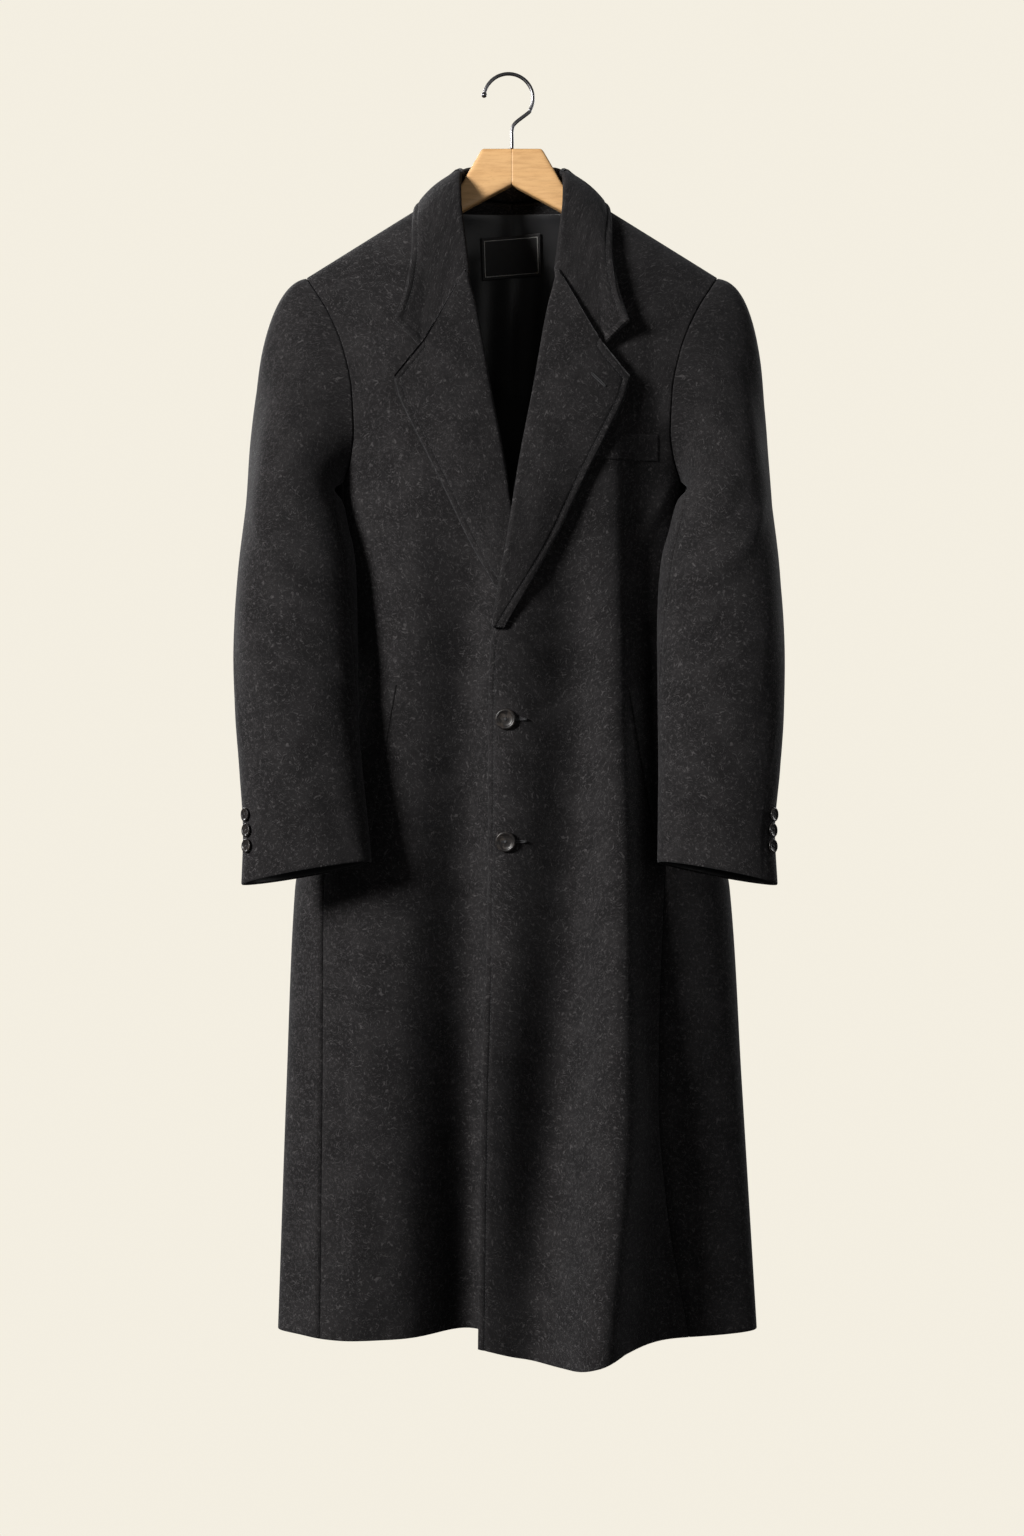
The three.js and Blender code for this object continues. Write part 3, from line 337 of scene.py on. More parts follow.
COLLAR = Table(
    ("sx", "sz", "ux", "uy", "uz", "ox", "oy", "oz", "stand", "ex", "ey", "ez"),
    (
        (0, -131, 0, -0.12, 1, 0, 1, 0, 35, 0, 58, -156),
        (45, -130, -0.1, -0.12, 1, 0.3, 0.95, 0, 34, 58, 52, -159),
        (72, -131, -0.5, -0.1, 0.86, 0.78, 0.62, 0, 31, 94, 34, -155),
        (82, -134, -0.7, 0, 0.71, 1, 0, 0, 35, 107, 1, -145),
        (80.5, -146, -0.76, -0.12, 0.64, 0.86, -0.5, 0.1, 31, 109.5, -36, -172),
        (76, -164, -0.85, -0.2, 0.5, 0.5, -0.86, 0.1, 23.5, 109, -52, -200),
        (66, -196, -0.95, -0.15, 0.25, 0.2, -0.98, 0.05, 15, 113, -66, -240),
        (56, -228, -1, 0, 0.05, 0, -1, 0, 8.5, 126, -75, -283),
    ),
)
SHOULDER_STATION = 3 / 7


@dataclass(frozen=True)
class Crease:
    """One soft roll or hollow laid along a bowed line; places are (across, height) on its face."""

    start: tuple[float, float]
    end: tuple[float, float]
    rise: float
    reach: float
    bow: float = 0.0

    def push(self, across: Array, z: Array) -> Array:
        """How far the cloth stands out.

        Args:
            across: Place across the face.
            z: Height.

        Returns:
            The push at each place; less than 0 in a hollow.
        """
        run = (self.end[0] - self.start[0], self.end[1] - self.start[1])
        length = math.hypot(*run)
        right, up = across - self.start[0], z - self.start[1]
        share = (right * run[0] + up * run[1]) / length**2
        away = (right * run[1] - up * run[0]) / length - self.bow * np.sin(np.pi * np.clip(share, 0, 1))
        ends = smooth((share + 0.15) / 0.45) * smooth((1.15 - share) / 0.45)
        return self.rise * ends * bump(away, self.reach)


def press(creases: tuple[Crease, ...], across: Array, z: Array) -> Array:
    """Add up creases.

    Args:
        creases: The creases of one face.
        across: Place across the face.
        z: Height.

    Returns:
        The push of them all.
    """
    total = np.zeros(np.broadcast(across, z).shape)
    for crease in creases:
        total = total + crease.push(across, z)
    return total


def waver(across: Array, z: Array, shift: float) -> Array:
    """Slow uneven rise and fall of hanging wool.

    Args:
        across: Place across the face.
        z: Height.
        shift: Shift that makes one face unlike another.

    Returns:
        A push of about 1 either way.
    """
    first = np.sin(across / 31 + 1.1 * np.sin(z / 97 + shift) + shift)
    second = np.sin(across / 17 - z / 190 + 2.3 * shift) * np.sin(z / 61 + shift)
    third = np.sin(z / 43 + across / 70 + 4.1 * shift) * np.sin(across / 23 + shift)
    return 0.55 * first + 0.3 * second + 0.3 * third


FRONT_CREASES = {
    Side.LEFT: (
        Crease((40, -500), (58, -690), -2.6, 20, 4),
        Crease((150, -400), (160, -830), -3.2, 15, 6),
        Crease((196, -262), (164, -398), 2.6, 11, -5),
        Crease((150, -290), (158, -430), -2.4, 13),
        Crease((186, -440), (140, -520), 2.2, 8, 4),
        Crease((180, -470), (134, -580), -1.8, 9, 4),
        Crease((10, -716), (66, -742), 1.5, 7, -2),
        Crease((12, -702), (60, -684), -1.3, 8, 2),
        Crease((12, -846), (52, -872), 1.1, 7, -2),
        Crease((150, -900), (170, -1370), -3.5, 18, -5),
        Crease((140, -700), (148, -830), 1.6, 9, 3),
    ),
    Side.RIGHT: (
        Crease((30, -520), (60, -700), -2.2, 18, 5),
        Crease((100, -380), (96, -640), 2.4, 22, -6),
        Crease((150, -400), (156, -820), -2.8, 15, -5),
        Crease((198, -262), (166, -400), 2.4, 11, -5),
        Crease((186, -442), (138, -530), 2.0, 8, 4),
        Crease((182, -474), (132, -590), -1.7, 9, 3),
        Crease((34, -720), (96, -760), 1.6, 9, 3),
        Crease((108, -900), (122, -1370), 3.0, 20, -6),
        Crease((40, -960), (52, -1370), -2.4, 18, 4),
        Crease((176, -960), (196, -1370), -2.2, 12, 3),
    ),
}
BACK_CREASES = (
    Crease((-60, -330), (-74, -620), 2.4, 22, 6),
    Crease((66, -350), (58, -650), 2.2, 24, -6),
    Crease((-170, -300), (-120, -380), -2.2, 14, 5),
    Crease((172, -300), (118, -386), -2.4, 14, -5),
    Crease((-176, -440), (-120, -560), 2.4, 10, 5),
    Crease((178, -446), (116, -548), 2.2, 10, -5),
    Crease((-170, -480), (-128, -620), -2.0, 12, 4),
    Crease((172, -486), (122, -630), -2.0, 12, -4),
    Crease((-66, -760), (-58, -1370), -4.5, 22, 8),
    Crease((70, -800), (84, -1370), -4.0, 24, -8),
    Crease((-150, -700), (-164, -1370), 3.6, 22, -6),
    Crease((158, -740), (150, -1370), 3.2, 22, 6),
    Crease((-20, -330), (40, -345), -1.3, 12, 4),
)


class CoatForm:
    """The coat's large form: where its outer face lies in front, behind, at the sides and in the sleeves."""

    def half_width(self, sign: Array | float, z: Array | float) -> Array:
        """Half the width of the body at a height.

        Args:
            sign: Which side of the centre, by its sign.
            z: Height.

        Returns:
            Distance from the centre to the side line.
        """
        return np.where(np.asarray(sign) < 0, BODY.at("right", z), BODY.at("left", z))

    def shoulder_z(self, x: Array | float) -> Array:
        """Height of the shoulder line at a distance from the centre.

        Args:
            x: Place across the coat.

        Returns:
            Height of the seam's line, carried on past both of its ends.
        """
        slope = (SHOULDER_POINT[1] - NECK_POINT[1]) / (SHOULDER_POINT[0] - NECK_POINT[0])
        return NECK_POINT[1] + (np.abs(x) - NECK_POINT[0]) * slope

    def rounding(self, drop: Array, reach: float) -> Array:
        """Share of its full depth that the coat has below the shoulder line.

        Args:
            drop: Distance below the shoulder line.
            reach: Drop at which the depth is full.

        Returns:
            The share, 0 on the line and 1 below the reach.
        """
        t = np.clip(drop / reach, 0.0, 1.0)
        return (1 - (1 - t) ** ROUND_POWER) ** (1 / ROUND_POWER)

    def fold(self, table: Table, x: Array, z: Array) -> Array:
        """Push of one vertical fold.

        Args:
            table: The fold's crest, rise and reach by height.
            x: Distance from the centre on the fold's own side.
            z: Height.

        Returns:
            How far the cloth stands out there.
        """
        away = x - table.at("x", z)
        reach = np.where(away < 0, table.at("inner", z), table.at("outer", z))
        return table.at("rise", z) * bump(away, reach)

    def lap_lift(self, x: Array, z: Array) -> Array:
        """How far the left front is lifted off the right one that it laps over."""
        crossing = 9.8 * smooth((z + 672) / 48) * (1 - smooth((z + 470) / 90))
        return (3.6 + crossing) * (1 - smooth((x - 30) / 90)) * smooth((-z - 330) / 110)

    def front_y(self, side: Side, x: Array, z: Array) -> Array:
        """Outer face of one front.

        Args:
            side: Which front.
            x: Place across the coat, in the coat's own frame.
            z: Height.

        Returns:
            y of the face.
        """
        x, z = np.asarray(x, dtype=float), np.asarray(z, dtype=float)
        own = x * side.value
        half = self.half_width(x, z)
        around = np.sqrt(np.clip(1 - (x / half) ** 2, 0, None))
        inside = smooth((half - np.abs(x)) / 50)
        push = self.fold(MIDDLE_VALLEY, x, z)
        if side is Side.LEFT:
            follow = 1 - smooth((HOLLOW_END_Z - z) / HOLLOW_FADE)
            push = push + self.fold(LEFT_RIDGE, x, z) + self.fold(LEFT_EDGE_RIDGE, x, z)
            push = push + self.lap_lift(own, z)
            push = push + self.fold(RIGHT_VALLEY, x, z) * follow
        else:
            push = push + self.fold(RIGHT_VALLEY, x, z) + self.fold(RIGHT_RIDGE, x, z)
        soft = press(FRONT_CREASES[side], own, z) + 1.1 * waver(own, z, 0.6 + side.value)
        push = push + soft * smooth((own - EDGE.at("x", z) - 12) / 40)
        y = BODY.at("side", z) - BODY.at("front", z) * around - push * inside
        return y * self.rounding(self.shoulder_z(x) - z, FRONT_ROUND)

    def hang(self, side: Side, x: Array, z: Array) -> Array:
        """How much lower a front hangs towards its hem.

        Args:
            side: Which front.
            x: Place across the coat.
            z: Height before it is lowered.

        Returns:
            The fall, in full at the hem.
        """
        share = smooth((HEM_Z + HEM_DROP_RISE - z) / HEM_DROP_RISE)
        return HEM_DROP.at("fall", x) * share if side is Side.LEFT else 0 * x

    def back_y(self, x: Array, z: Array) -> Array:
        """Outer face of the back.

        Args:
            x: Place across the coat.
            z: Height.

        Returns:
            y of the face.
        """
        x, z = np.asarray(x, dtype=float), np.asarray(z, dtype=float)
        half = self.half_width(x, z)
        around = np.clip(1 - np.abs(x / half) ** 3.2, 0, None) ** (1 / 3.2)
        soft = press(BACK_CREASES, x, z) + 1.2 * waver(x, z, 2.9)
        push = (self.fold(BACK_FLARE, np.abs(x), z) + soft) * smooth((half - np.abs(x)) / 50)
        y = BODY.at("side", z) + BODY.at("back", z) * around + push
        return y * self.rounding(self.shoulder_z(x) - z, BACK_ROUND)

    def side_points(self, side: Side, turn: Array, z: Array) -> Array:
        """Outer face of a side panel.

        Args:
            side: Which side.
            turn: -1 at the front seam, 0 on the side line, 1 at the back seam.
            z: Height.

        Returns:
            Points, with x, y and z last.
        """
        half = self.half_width(side.value, z)
        front = np.minimum(FRONT_SEAM.at(side.word, z) / half, 0.999)
        back = np.minimum(BACK_SEAM.at("x", z) / half, 0.999)
        front_angle = np.clip(-turn, 0, 1) * np.arccos(front)
        back_angle = np.clip(turn, 0, 1) * np.arccos(back ** 1.6)
        x_front = side.value * half * np.cos(front_angle)
        x_back = side.value * half * np.cos(back_angle) ** (1 / 1.6)
        x = np.where(turn < 0, x_front, x_back)
        y = np.where(turn < 0, self.front_y(side, x_front, z), self.back_y(x_back, z))
        y = np.where(np.abs(turn) < 1e-6, BODY.at("side", z), y)
        return np.stack([x, y, z + 0 * x], axis=-1)

    def armhole(self, side: Side) -> tuple[Array, Array]:
        """The armhole all round, from the shoulder down the front, under the arm and up the back.

        Args:
            side: Which side.

        Returns:
            Points of the ring, and the turn round the sleeve of each.
        """
        down = 1 - np.linspace(0, 1, 41) ** 1.25
        x, z = ARMHOLE_FRONT.along("x", down), ARMHOLE_FRONT.along("z", down)
        y = np.where(down > 0.9999, 0.0, self.front_y(side, side.value * x, z))
        front = np.stack([side.value * x, y, z], axis=-1)
        across = np.linspace(-1, 1, 17)[1:-1]
        under = self.side_points(side, across, np.full(across.shape, ARMPIT_Z))
        up = np.linspace(0, 1, 41)[:-1]
        x, z = ARMHOLE_BACK.along("x", up), ARMHOLE_BACK.along("z", up)
        back = np.stack([side.value * x, self.back_y(side.value * x, z), z], axis=-1)
        turns = [0.4 * (1 - down), lerp(0.4, 0.6, (across + 1) / 2), lerp(0.6, 1.0, up)]
        return np.concatenate([front, under, back]), np.concatenate(turns)

    def sleeve_section(self, side: Side, z: float, turn: Array, down: float) -> Array:
        """A ring of the sleeve below the biceps.

        Args:
            side: Which sleeve.
            z: Height of the ring.
            turn: Turns round the sleeve, 0 outside and 0.25 in front.
            down: Share of the way from biceps to cuff.

        Returns:
            Points of the ring.
        """
        outer = SLEEVE.at("out_" + side.word, z)
        inner = SLEEVE.at("in_" + side.word, z)
        angle = 2 * np.pi * (turn + SLEEVE_TURN * smooth(down))
        x = (outer + inner) / 2 + (outer - inner) / 2 * np.cos(angle)
        y = SLEEVE.at("y", z) - SLEEVE.at("depth", z) * np.sin(angle)
        height = z - smooth(down) * (CUFF_SLANT * np.cos(angle) - CUFF_PITCH * np.sin(angle))
        return np.stack([side.value * x, y, height], axis=-1)

    def clear_of_body(self, side: Side, points: Array, room: Array) -> Array:
        """Move sleeve points out of the body.

        Args:
            side: Which sleeve.
            points: Points of the sleeve.
            room: Least distance from the body for each point.

        Returns:
            The points, moved where they lay inside.
        """
        z = points[:, 2]
        half = self.half_width(side.value, z) + room
        line = BODY.at("side", z)
        front, back = BODY.at("front", z) + room, BODY.at("back", z) + room

        def fill(place: Array) -> Array:
            ahead = place[:, 1] < line
            power = np.where(ahead, 2.0, 3.2)
            depth = np.where(ahead, front, back)
            return np.abs(place[:, 0] / half) ** power + np.abs((place[:, 1] - line) / depth) ** power

        start = np.stack([side.value * (half - room - 90), line, z], axis=-1)
        low, high = np.ones(len(z)), np.full(len(z), 12.0)
        for _ in range(26):
            middle = (low + high) / 2
            within = fill(start + (points - start) * middle[:, None]) < 1
            low, high = np.where(within, middle, low), np.where(within, high, middle)
        moved = start + (points - start) * high[:, None]
        inside = (fill(points) < 1) & (z < ARMPIT_Z + 2)
        return np.where(inside[:, None], moved, points)

    def sleeve_rings(self, side: Side) -> tuple[Array, Array]:
        """The whole sleeve, from the armhole to the cuff.

        Args:
            side: Which sleeve.

        Returns:
            Rings of points, and the turn of each column.
        """
        hole, turn = self.armhole(side)
        top = (1 + np.cos(2 * np.pi * turn)) / 2
        behind = smooth((turn - 0.5) / 0.06) * (1 - smooth((turn - 0.66) / 0.06))
        flat = np.zeros_like(turn)
        start = hole + np.stack([side.value * lerp(1.2, 0.5, top), flat, 0.6 * (1 - top)], axis=-1)
        end = self.sleeve_section(side, BICEPS_Z, turn, 0)
        leave = np.stack([side.value * lerp(6, 165, top), lerp(-24, 0, top), lerp(-24, -20, top)], axis=-1)
        arrive = np.stack([side.value * lerp(-10, 14, top), flat - 20, -lerp(45, 230, top)], axis=-1)
        rings = []
        for t in np.linspace(0, 1, 34)[:-1] ** 1.2:
            ring = start * (2 * t**3 - 3 * t**2 + 1) + end * (3 * t**2 - 2 * t**3)
            ring = ring + leave * (t**3 - 2 * t**2 + t) + arrive * (t**3 - t**2)
            if t > 0:
                ring = self.clear_of_body(side, ring, 1.2 + 1.8 * smooth(t / 0.5) + 2.6 * behind)
            rings.append(ring)
        for t in np.linspace(0, 1, 84):
            ring = self.sleeve_section(side, lerp(BICEPS_Z, CUFF_Z, t), turn, t)
            rings.append(self.clear_of_body(side, ring, np.full(turn.shape, 3.0)))
        return np.array(rings), turn


FORM = CoatForm()


def face_normals(points: Array, outward: float, ring: bool = False) -> Array:
    """Normals of a grid of points.

    Args:
        points: Rows of columns of points.
        outward: 1 or -1, to turn the normals over.
        ring: Whether the last column joins the first.

    Returns:
        One unit normal for each point.
    """
    if ring:
        across = np.roll(points, -1, axis=1) - np.roll(points, 1, axis=1)
    else:
        across = np.gradient(points, axis=1)
    normals = np.cross(across, np.gradient(points, axis=0)) * outward
    length = np.linalg.norm(normals, axis=-1, keepdims=True)
    return normals / np.maximum(length, 1e-9)


def lengths_along(points: Array, axis: int) -> Array:
    """Distance run along the grid from its first row or column.

    Args:
        points: Rows of columns of points.
        axis: 0 to run down the rows, 1 to run across the columns.

    Returns:
        The distance at each point.
    """
    steps = np.linalg.norm(np.diff(points, axis=axis), axis=-1)
    padding = [(0, 0), (0, 0)]
    padding[axis] = (1, 0)
    return np.pad(np.cumsum(steps, axis=axis), padding)


@dataclass
class ClothShell:
    """A closed thin shell on a grid of outer points, with round edges and its cloth laid flat as UVs."""

    name: str
    points: Array
    thick: float
    outward: float = 1.0
    ring: bool = False
    edge_steps: int = 5
    from_last: bool = False
    normals: Array = field(init=False)

    def __post_init__(self) -> None:
        """Work out the normals once, before the edges are drawn in."""
        self.normals = face_normals(self.points, self.outward, self.ring)

    def _loops(self, rows: int, cols: int) -> list[list[tuple[int, int]]]:
        """Grid places of each edge of the cloth, in order round it."""
        if self.ring:
            return [[(0, c) for c in range(cols)], [(rows - 1, c) for c in range(cols)]]
        loop = [(0, c) for c in range(cols)]
        loop += [(r, cols - 1) for r in range(1, rows)]
        loop += [(rows - 1, c) for c in range(cols - 2, -1, -1)]
        loop += [(r, 0) for r in range(rows - 2, 0, -1)]
        return [loop]

    def build(self) -> bpy.types.Object:
        """Make the shell.

        Returns:
            The Blender object, linked to the scene.
        """
        rows, cols = self.points.shape[:2]
        outer = self.points.copy()
        radius = self.thick / 2
        rims = []
        for loop in self._loops(rows, cols):
            r, c = np.array(loop).T
            here, normal = outer[r, c].copy(), self.normals[r, c]
            along = np.roll(here, -1, axis=0) - np.roll(here, 1, axis=0)
            away = np.cross(along, normal)
            away /= np.maximum(np.linalg.norm(away, axis=-1, keepdims=True), 1e-9)
            inner_r = np.clip(r, 1, rows - 2)
            inner_c = c if self.ring else np.clip(c, 1, cols - 2)
            inward = self.points[inner_r, inner_c] - here
            turned = np.sign(-(away * inward).sum(axis=-1)).sum()
            away *= 1.0 if turned >= 0 else -1.0
            outer[r, c] = here - away * radius
            rims.append((r, c, away, normal))
        inner = outer - self.normals * self.thick
        vertices = [outer.reshape(-1, 3), inner.reshape(-1, 3)]
        grid = np.arange(rows * cols).reshape(rows, cols)
        back = grid + rows * cols
        if self.ring:
            grid_w, back_w = np.c_[grid, grid[:, :1]], np.c_[back, back[:, :1]]
        else:
            grid_w, back_w = grid, back
        faces = [
            np.stack(
                [grid_w[:-1, :-1], grid_w[:-1, 1:], grid_w[1:, 1:], grid_w[1:, :-1]], axis=-1
            ).reshape(-1, 4),
            np.stack(
                [back_w[1:, :-1], back_w[1:, 1:], back_w[:-1, 1:], back_w[:-1, :-1]], axis=-1
            ).reshape(-1, 4),
        ]
        count = 2 * rows * cols
        sources = [np.arange(rows * cols), np.arange(rows * cols)]
        for r, c, away, normal in rims:
            previous = grid[r, c]
            for k in range(1, self.edge_steps + 1):
                if k == self.edge_steps:
                    current = back[r, c]
                else:
                    angle = np.pi * k / self.edge_steps
                    inward = outer[r, c] - normal * radius * (1 - np.cos(angle))
                    vertices.append(inward + away * radius * np.sin(angle))
                    current = np.arange(count, count + len(r))
                    count += len(r)
                    sources.append(grid[r, c])
                following = [np.roll(current, -1), np.roll(previous, -1)]
                faces.append(np.stack([previous, current, *following], axis=-1))
                previous = current
        across = lengths_along(self.points, 1)
        across = across - across[:, -1:] / 2
        down = lengths_along(self.points, 0)
        if self.from_last:
            down = down - down[-1:]
        flat = np.stack([across, down], axis=-1).reshape(-1, 2)
        return make_mesh(
            self.name, np.concatenate(vertices), np.concatenate(faces), flat[np.concatenate(sources)]
        )


def make_mesh(name: str, vertices: Array, faces: Array | list, flat: Array | None = None) -> bpy.types.Object:
    """Make a smooth mesh object from points in millimetres.

    Args:
        name: Name of the object.
        vertices: Points in millimetres.
        faces: The vertex numbers of each face.
        flat: Place of each vertex on the flat cloth, in millimetres.

    Returns:
        The object, linked to the scene, with its normals facing out.
    """
    mesh = bpy.data.meshes.new(name)
    mesh.from_pydata((vertices * MM).tolist(), [], faces if isinstance(faces, list) else faces.tolist())
    mesh.validate()
    if flat is not None:
        layer = mesh.uv_layers.new(name="cloth")
        corners = np.empty(len(mesh.loops), dtype=np.int32)
        mesh.loops.foreach_get("vertex_index", corners)
        layer.data.foreach_set("uv", (flat[corners] * MM).astype(np.float32).ravel())
    work = bmesh.new()
    work.from_mesh(mesh)
    bmesh.ops.recalc_face_normals(work, faces=work.faces)
    work.to_mesh(mesh)
    work.free()
    mesh.shade_smooth()
    item = bpy.data.objects.new(name, mesh)
    bpy.context.scene.collection.objects.link(item)
    return item


def place_rows(face: Callable[[Array, Array], Array], start: Array, end: Array, spots: Array) -> Array:
    """Lay rows of points on a face, each between two ends.

    Args:
        face: Gives y for x and z.
        start: x and z of each row's first point.
        end: x and z of each row's last point.
        spots: Distances from the first point of the first columns; the rest are evenly spaced on the cloth.

    Returns:
        The grid of points.
    """
    fine = np.linspace(0, 1, 121)
    x = lerp(start[:, :1], end[:, :1], fine)
    z = lerp(start[:, 1:], end[:, 1:], fine)
    run = lengths_along(np.stack([x, face(x, z), z], axis=-1), 1)
    shares = []
    for row in run:
        rest = np.linspace(spots[-1], row[-1], ROW_CELLS)[1:]
        shares.append(np.interp(np.concatenate([spots, rest]), row, fine))
    x = lerp(start[:, :1], end[:, :1], np.array(shares))
    z = lerp(start[:, 1:], end[:, 1:], np.array(shares))
    return np.stack([x, face(x, z), z], axis=-1)


def draw_in(points: Array, amount: float, first: bool, last: bool) -> Array:
    """Shorten rows at their ends, to leave room for a seam.

    Args:
        points: Rows of columns of points.
        amount: How far to draw in.
        first: Whether to draw in the first column.
        last: Whether to draw in the last column.

    Returns:
        The grid with its end columns moved.
    """
    moved = points.copy()
    for wanted, edge, inner in ((first, 0, 1), (last, -1, -2)):
        if wanted:
            step = points[:, inner] - points[:, edge]
            moved[:, edge] += step / np.linalg.norm(step, axis=-1, keepdims=True) * amount
    return moved


LOWER_HEIGHTS = np.linspace(HEM_Z, ARMPIT_Z, 204)
UPPER_SHARES = 1 - (1 - np.linspace(0, 1, 68)[1:]) ** 1.7
ROW_CELLS = 48
STITCH_INSET = 7.8
EDGE_SPOTS = np.array([0, 1.5, 3.2, 4.8, 6.0, 6.9, STITCH_INSET, 8.7, 9.8, 11.5, 14.0])
PLAIN_SPOTS = np.array([0.0, 2.0])


class Finishable:
    """A sub-assembly: it builds its pieces and dresses each one."""

    def dress(self, item: bpy.types.Object, finish: "Finish", node: str, slot: str) -> bpy.types.Object:
        """Give a piece its finish and its place on the body.

        Args:
            item: The piece.
            finish: Its surface.
            node: The solid that it stands for.
            slot: The record's material slot; not used.

        Returns:
            The same piece.
        """
        item.data.materials.clear()
        item.data.materials.append(finish.material())
        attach(item, "root")
        if node:
            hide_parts(node)
        log.info("%s: %d faces", item.name, len(item.data.polygons))
        return item

    def dress_cloth(
        self, shell: ClothShell, finish: "Finish", slot: str, rests_on: list[str]
    ) -> bpy.types.Object:
        """Args:
            shell: The shell, named after its solid.
            finish: Its surface.
            slot: The record's material slot; not used.
            rests_on: Nodes that carry it; not used.

        Returns:
            The finished piece.
        """
        node = shell.name
        shell.name = "cloth_" + node
        item = self.dress(shell.build(), finish, node, slot)
        return item


@dataclass(frozen=True)
class Finish:
    """A surface; each kind builds its own nodes once and hands out the same material."""

    name: str

    def material(self) -> bpy.types.Material:
        """Find or build the material.

        Returns:
            The material.
        """
        made = bpy.data.materials.get(self.name)
        if made is None:
            made = bpy.data.materials.new(self.name)
            made.use_nodes = True
            made.node_tree.nodes.clear()
            self.fill(made.node_tree)
        return made

    def fill(self, tree: bpy.types.NodeTree) -> None:
        """Build the nodes of this finish.

        Args:
            tree: Empty node tree.
        """
        raise NotImplementedError


def add_node(tree: bpy.types.NodeTree, kind: str, inputs: dict | None = None, **settings) -> bpy.types.Node:
    """Add a node, set its values and link its inputs.

    Args:
        tree: Tree to add to.
        kind: Node type without its prefix.
        inputs: Sockets by name or number; a socket is linked, anything else is set.
        **settings: Attributes of the node.

    Returns:
        The node.
    """
    node = tree.nodes.new("ShaderNode" + kind)
    for key, value in settings.items():
        setattr(node, key, value)
    for key, value in (inputs or {}).items():
        if isinstance(value, bpy.types.NodeSocket):
            tree.links.new(value, node.inputs[key])
        else:
            node.inputs[key].default_value = value
    return node


def math_node(tree: bpy.types.NodeTree, operation: str, *values) -> bpy.types.NodeSocket:
    """Add a sum on one to three values.

    Args:
        tree: Tree to add to.
        operation: Name of the operation.
        *values: Sockets or numbers.

    Returns:
        The result.
    """
    return add_node(tree, "Math", dict(enumerate(values)), operation=operation).outputs[0]


def blend_node(tree: bpy.types.NodeTree, share, first, second) -> bpy.types.NodeSocket:
    """Mix two colours.

    Args:
        tree: Tree to add to.
        share: How much of the second, a socket or a number.
        first: Colour or socket.
        second: Colour or socket.

    Returns:
        The mixed colour.
    """
    node = add_node(tree, "Mix", data_type="RGBA")
    for index, value in ((0, share), (6, first), (7, second)):
        if isinstance(value, bpy.types.NodeSocket):
            tree.links.new(value, node.inputs[index])
        else:
            node.inputs[index].default_value = value if index == 0 else (*value, 1.0)
    return node.outputs[2]


def ramp_node(
    tree: bpy.types.NodeTree, value: bpy.types.NodeSocket, low: float, high: float
) -> bpy.types.NodeSocket:
    """Ease a value from 0 at one level to 1 at another.

    Args:
        tree: Tree to add to.
        value: Value to read.
        low: Level that gives 0.
        high: Level that gives 1.

    Returns:
        The eased value.
    """
    ends = {0: value, 1: low, 2: high, 3: 0.0, 4: 1.0}
    return add_node(tree, "MapRange", ends, interpolation_type="SMOOTHSTEP").outputs[0]


def noise_node(
    tree: bpy.types.NodeTree, where: bpy.types.NodeSocket, scale: float, **more
) -> bpy.types.NodeSocket:
    """Add a cloudy pattern.

    Args:
        tree: Tree to add to.
        where: Coordinates.
        scale: Features in a metre.
        **more: Values for its detail, roughness and distortion.

    Returns:
        The pattern's value.
    """
    inputs = {"Vector": where, "Scale": scale}
    inputs.update({key.capitalize(): value for key, value in more.items()})
    return add_node(tree, "TexNoise", inputs).outputs[0]


def shift_node(tree: bpy.types.NodeTree, where: bpy.types.NodeSocket, place: Colour, turn: float = 0.0,
               stretch: Colour = (1.0, 1.0, 1.0)) -> bpy.types.NodeSocket:
    """Move, turn and stretch coordinates.

    Args:
        tree: Tree to add to.
        where: Coordinates.
        place: Shift.
        turn: Turn about the third axis, in radians.
        stretch: Scale along each axis.

    Returns:
        The new coordinates.
    """
    inputs = {"Vector": where, "Location": place, "Rotation": (0.0, 0.0, turn), "Scale": stretch}
    return add_node(tree, "Mapping", inputs).outputs[0]


def cloth_coordinates(tree: bpy.types.NodeTree) -> bpy.types.NodeSocket:
    """Places on the flat cloth, in metres.

    Args:
        tree: Tree to add to.

    Returns:
        The coordinates.
    """
    return add_node(tree, "UVMap", uv_map="cloth").outputs[0]


def object_coordinates(tree: bpy.types.NodeTree) -> bpy.types.NodeSocket:
    """Places in the object, in metres.

    Args:
        tree: Tree to add to.

    Returns:
        The coordinates.
    """
    return add_node(tree, "TexCoord").outputs["Object"]


def close_surface(tree: bpy.types.NodeTree, inputs: dict, height: bpy.types.NodeSocket | None = None,
                  distance: float = 0.0005, strength: float = 0.5) -> None:
    """Add the surface shader, its bump and the output.

    Args:
        tree: Tree to add to.
        inputs: Values and links of the shader.
        height: Relief, if it has any.
        distance: Height of the relief, in metres.
        strength: How strongly it shows.
    """
    shader = add_node(tree, "BsdfPrincipled", inputs)
    if height is not None:
        relief = {"Strength": strength, "Distance": distance, "Height": height}
        tree.links.new(add_node(tree, "Bump", relief).outputs[0], shader.inputs["Normal"])
    add_node(tree, "OutputMaterial", {"Surface": shader.outputs[0]})


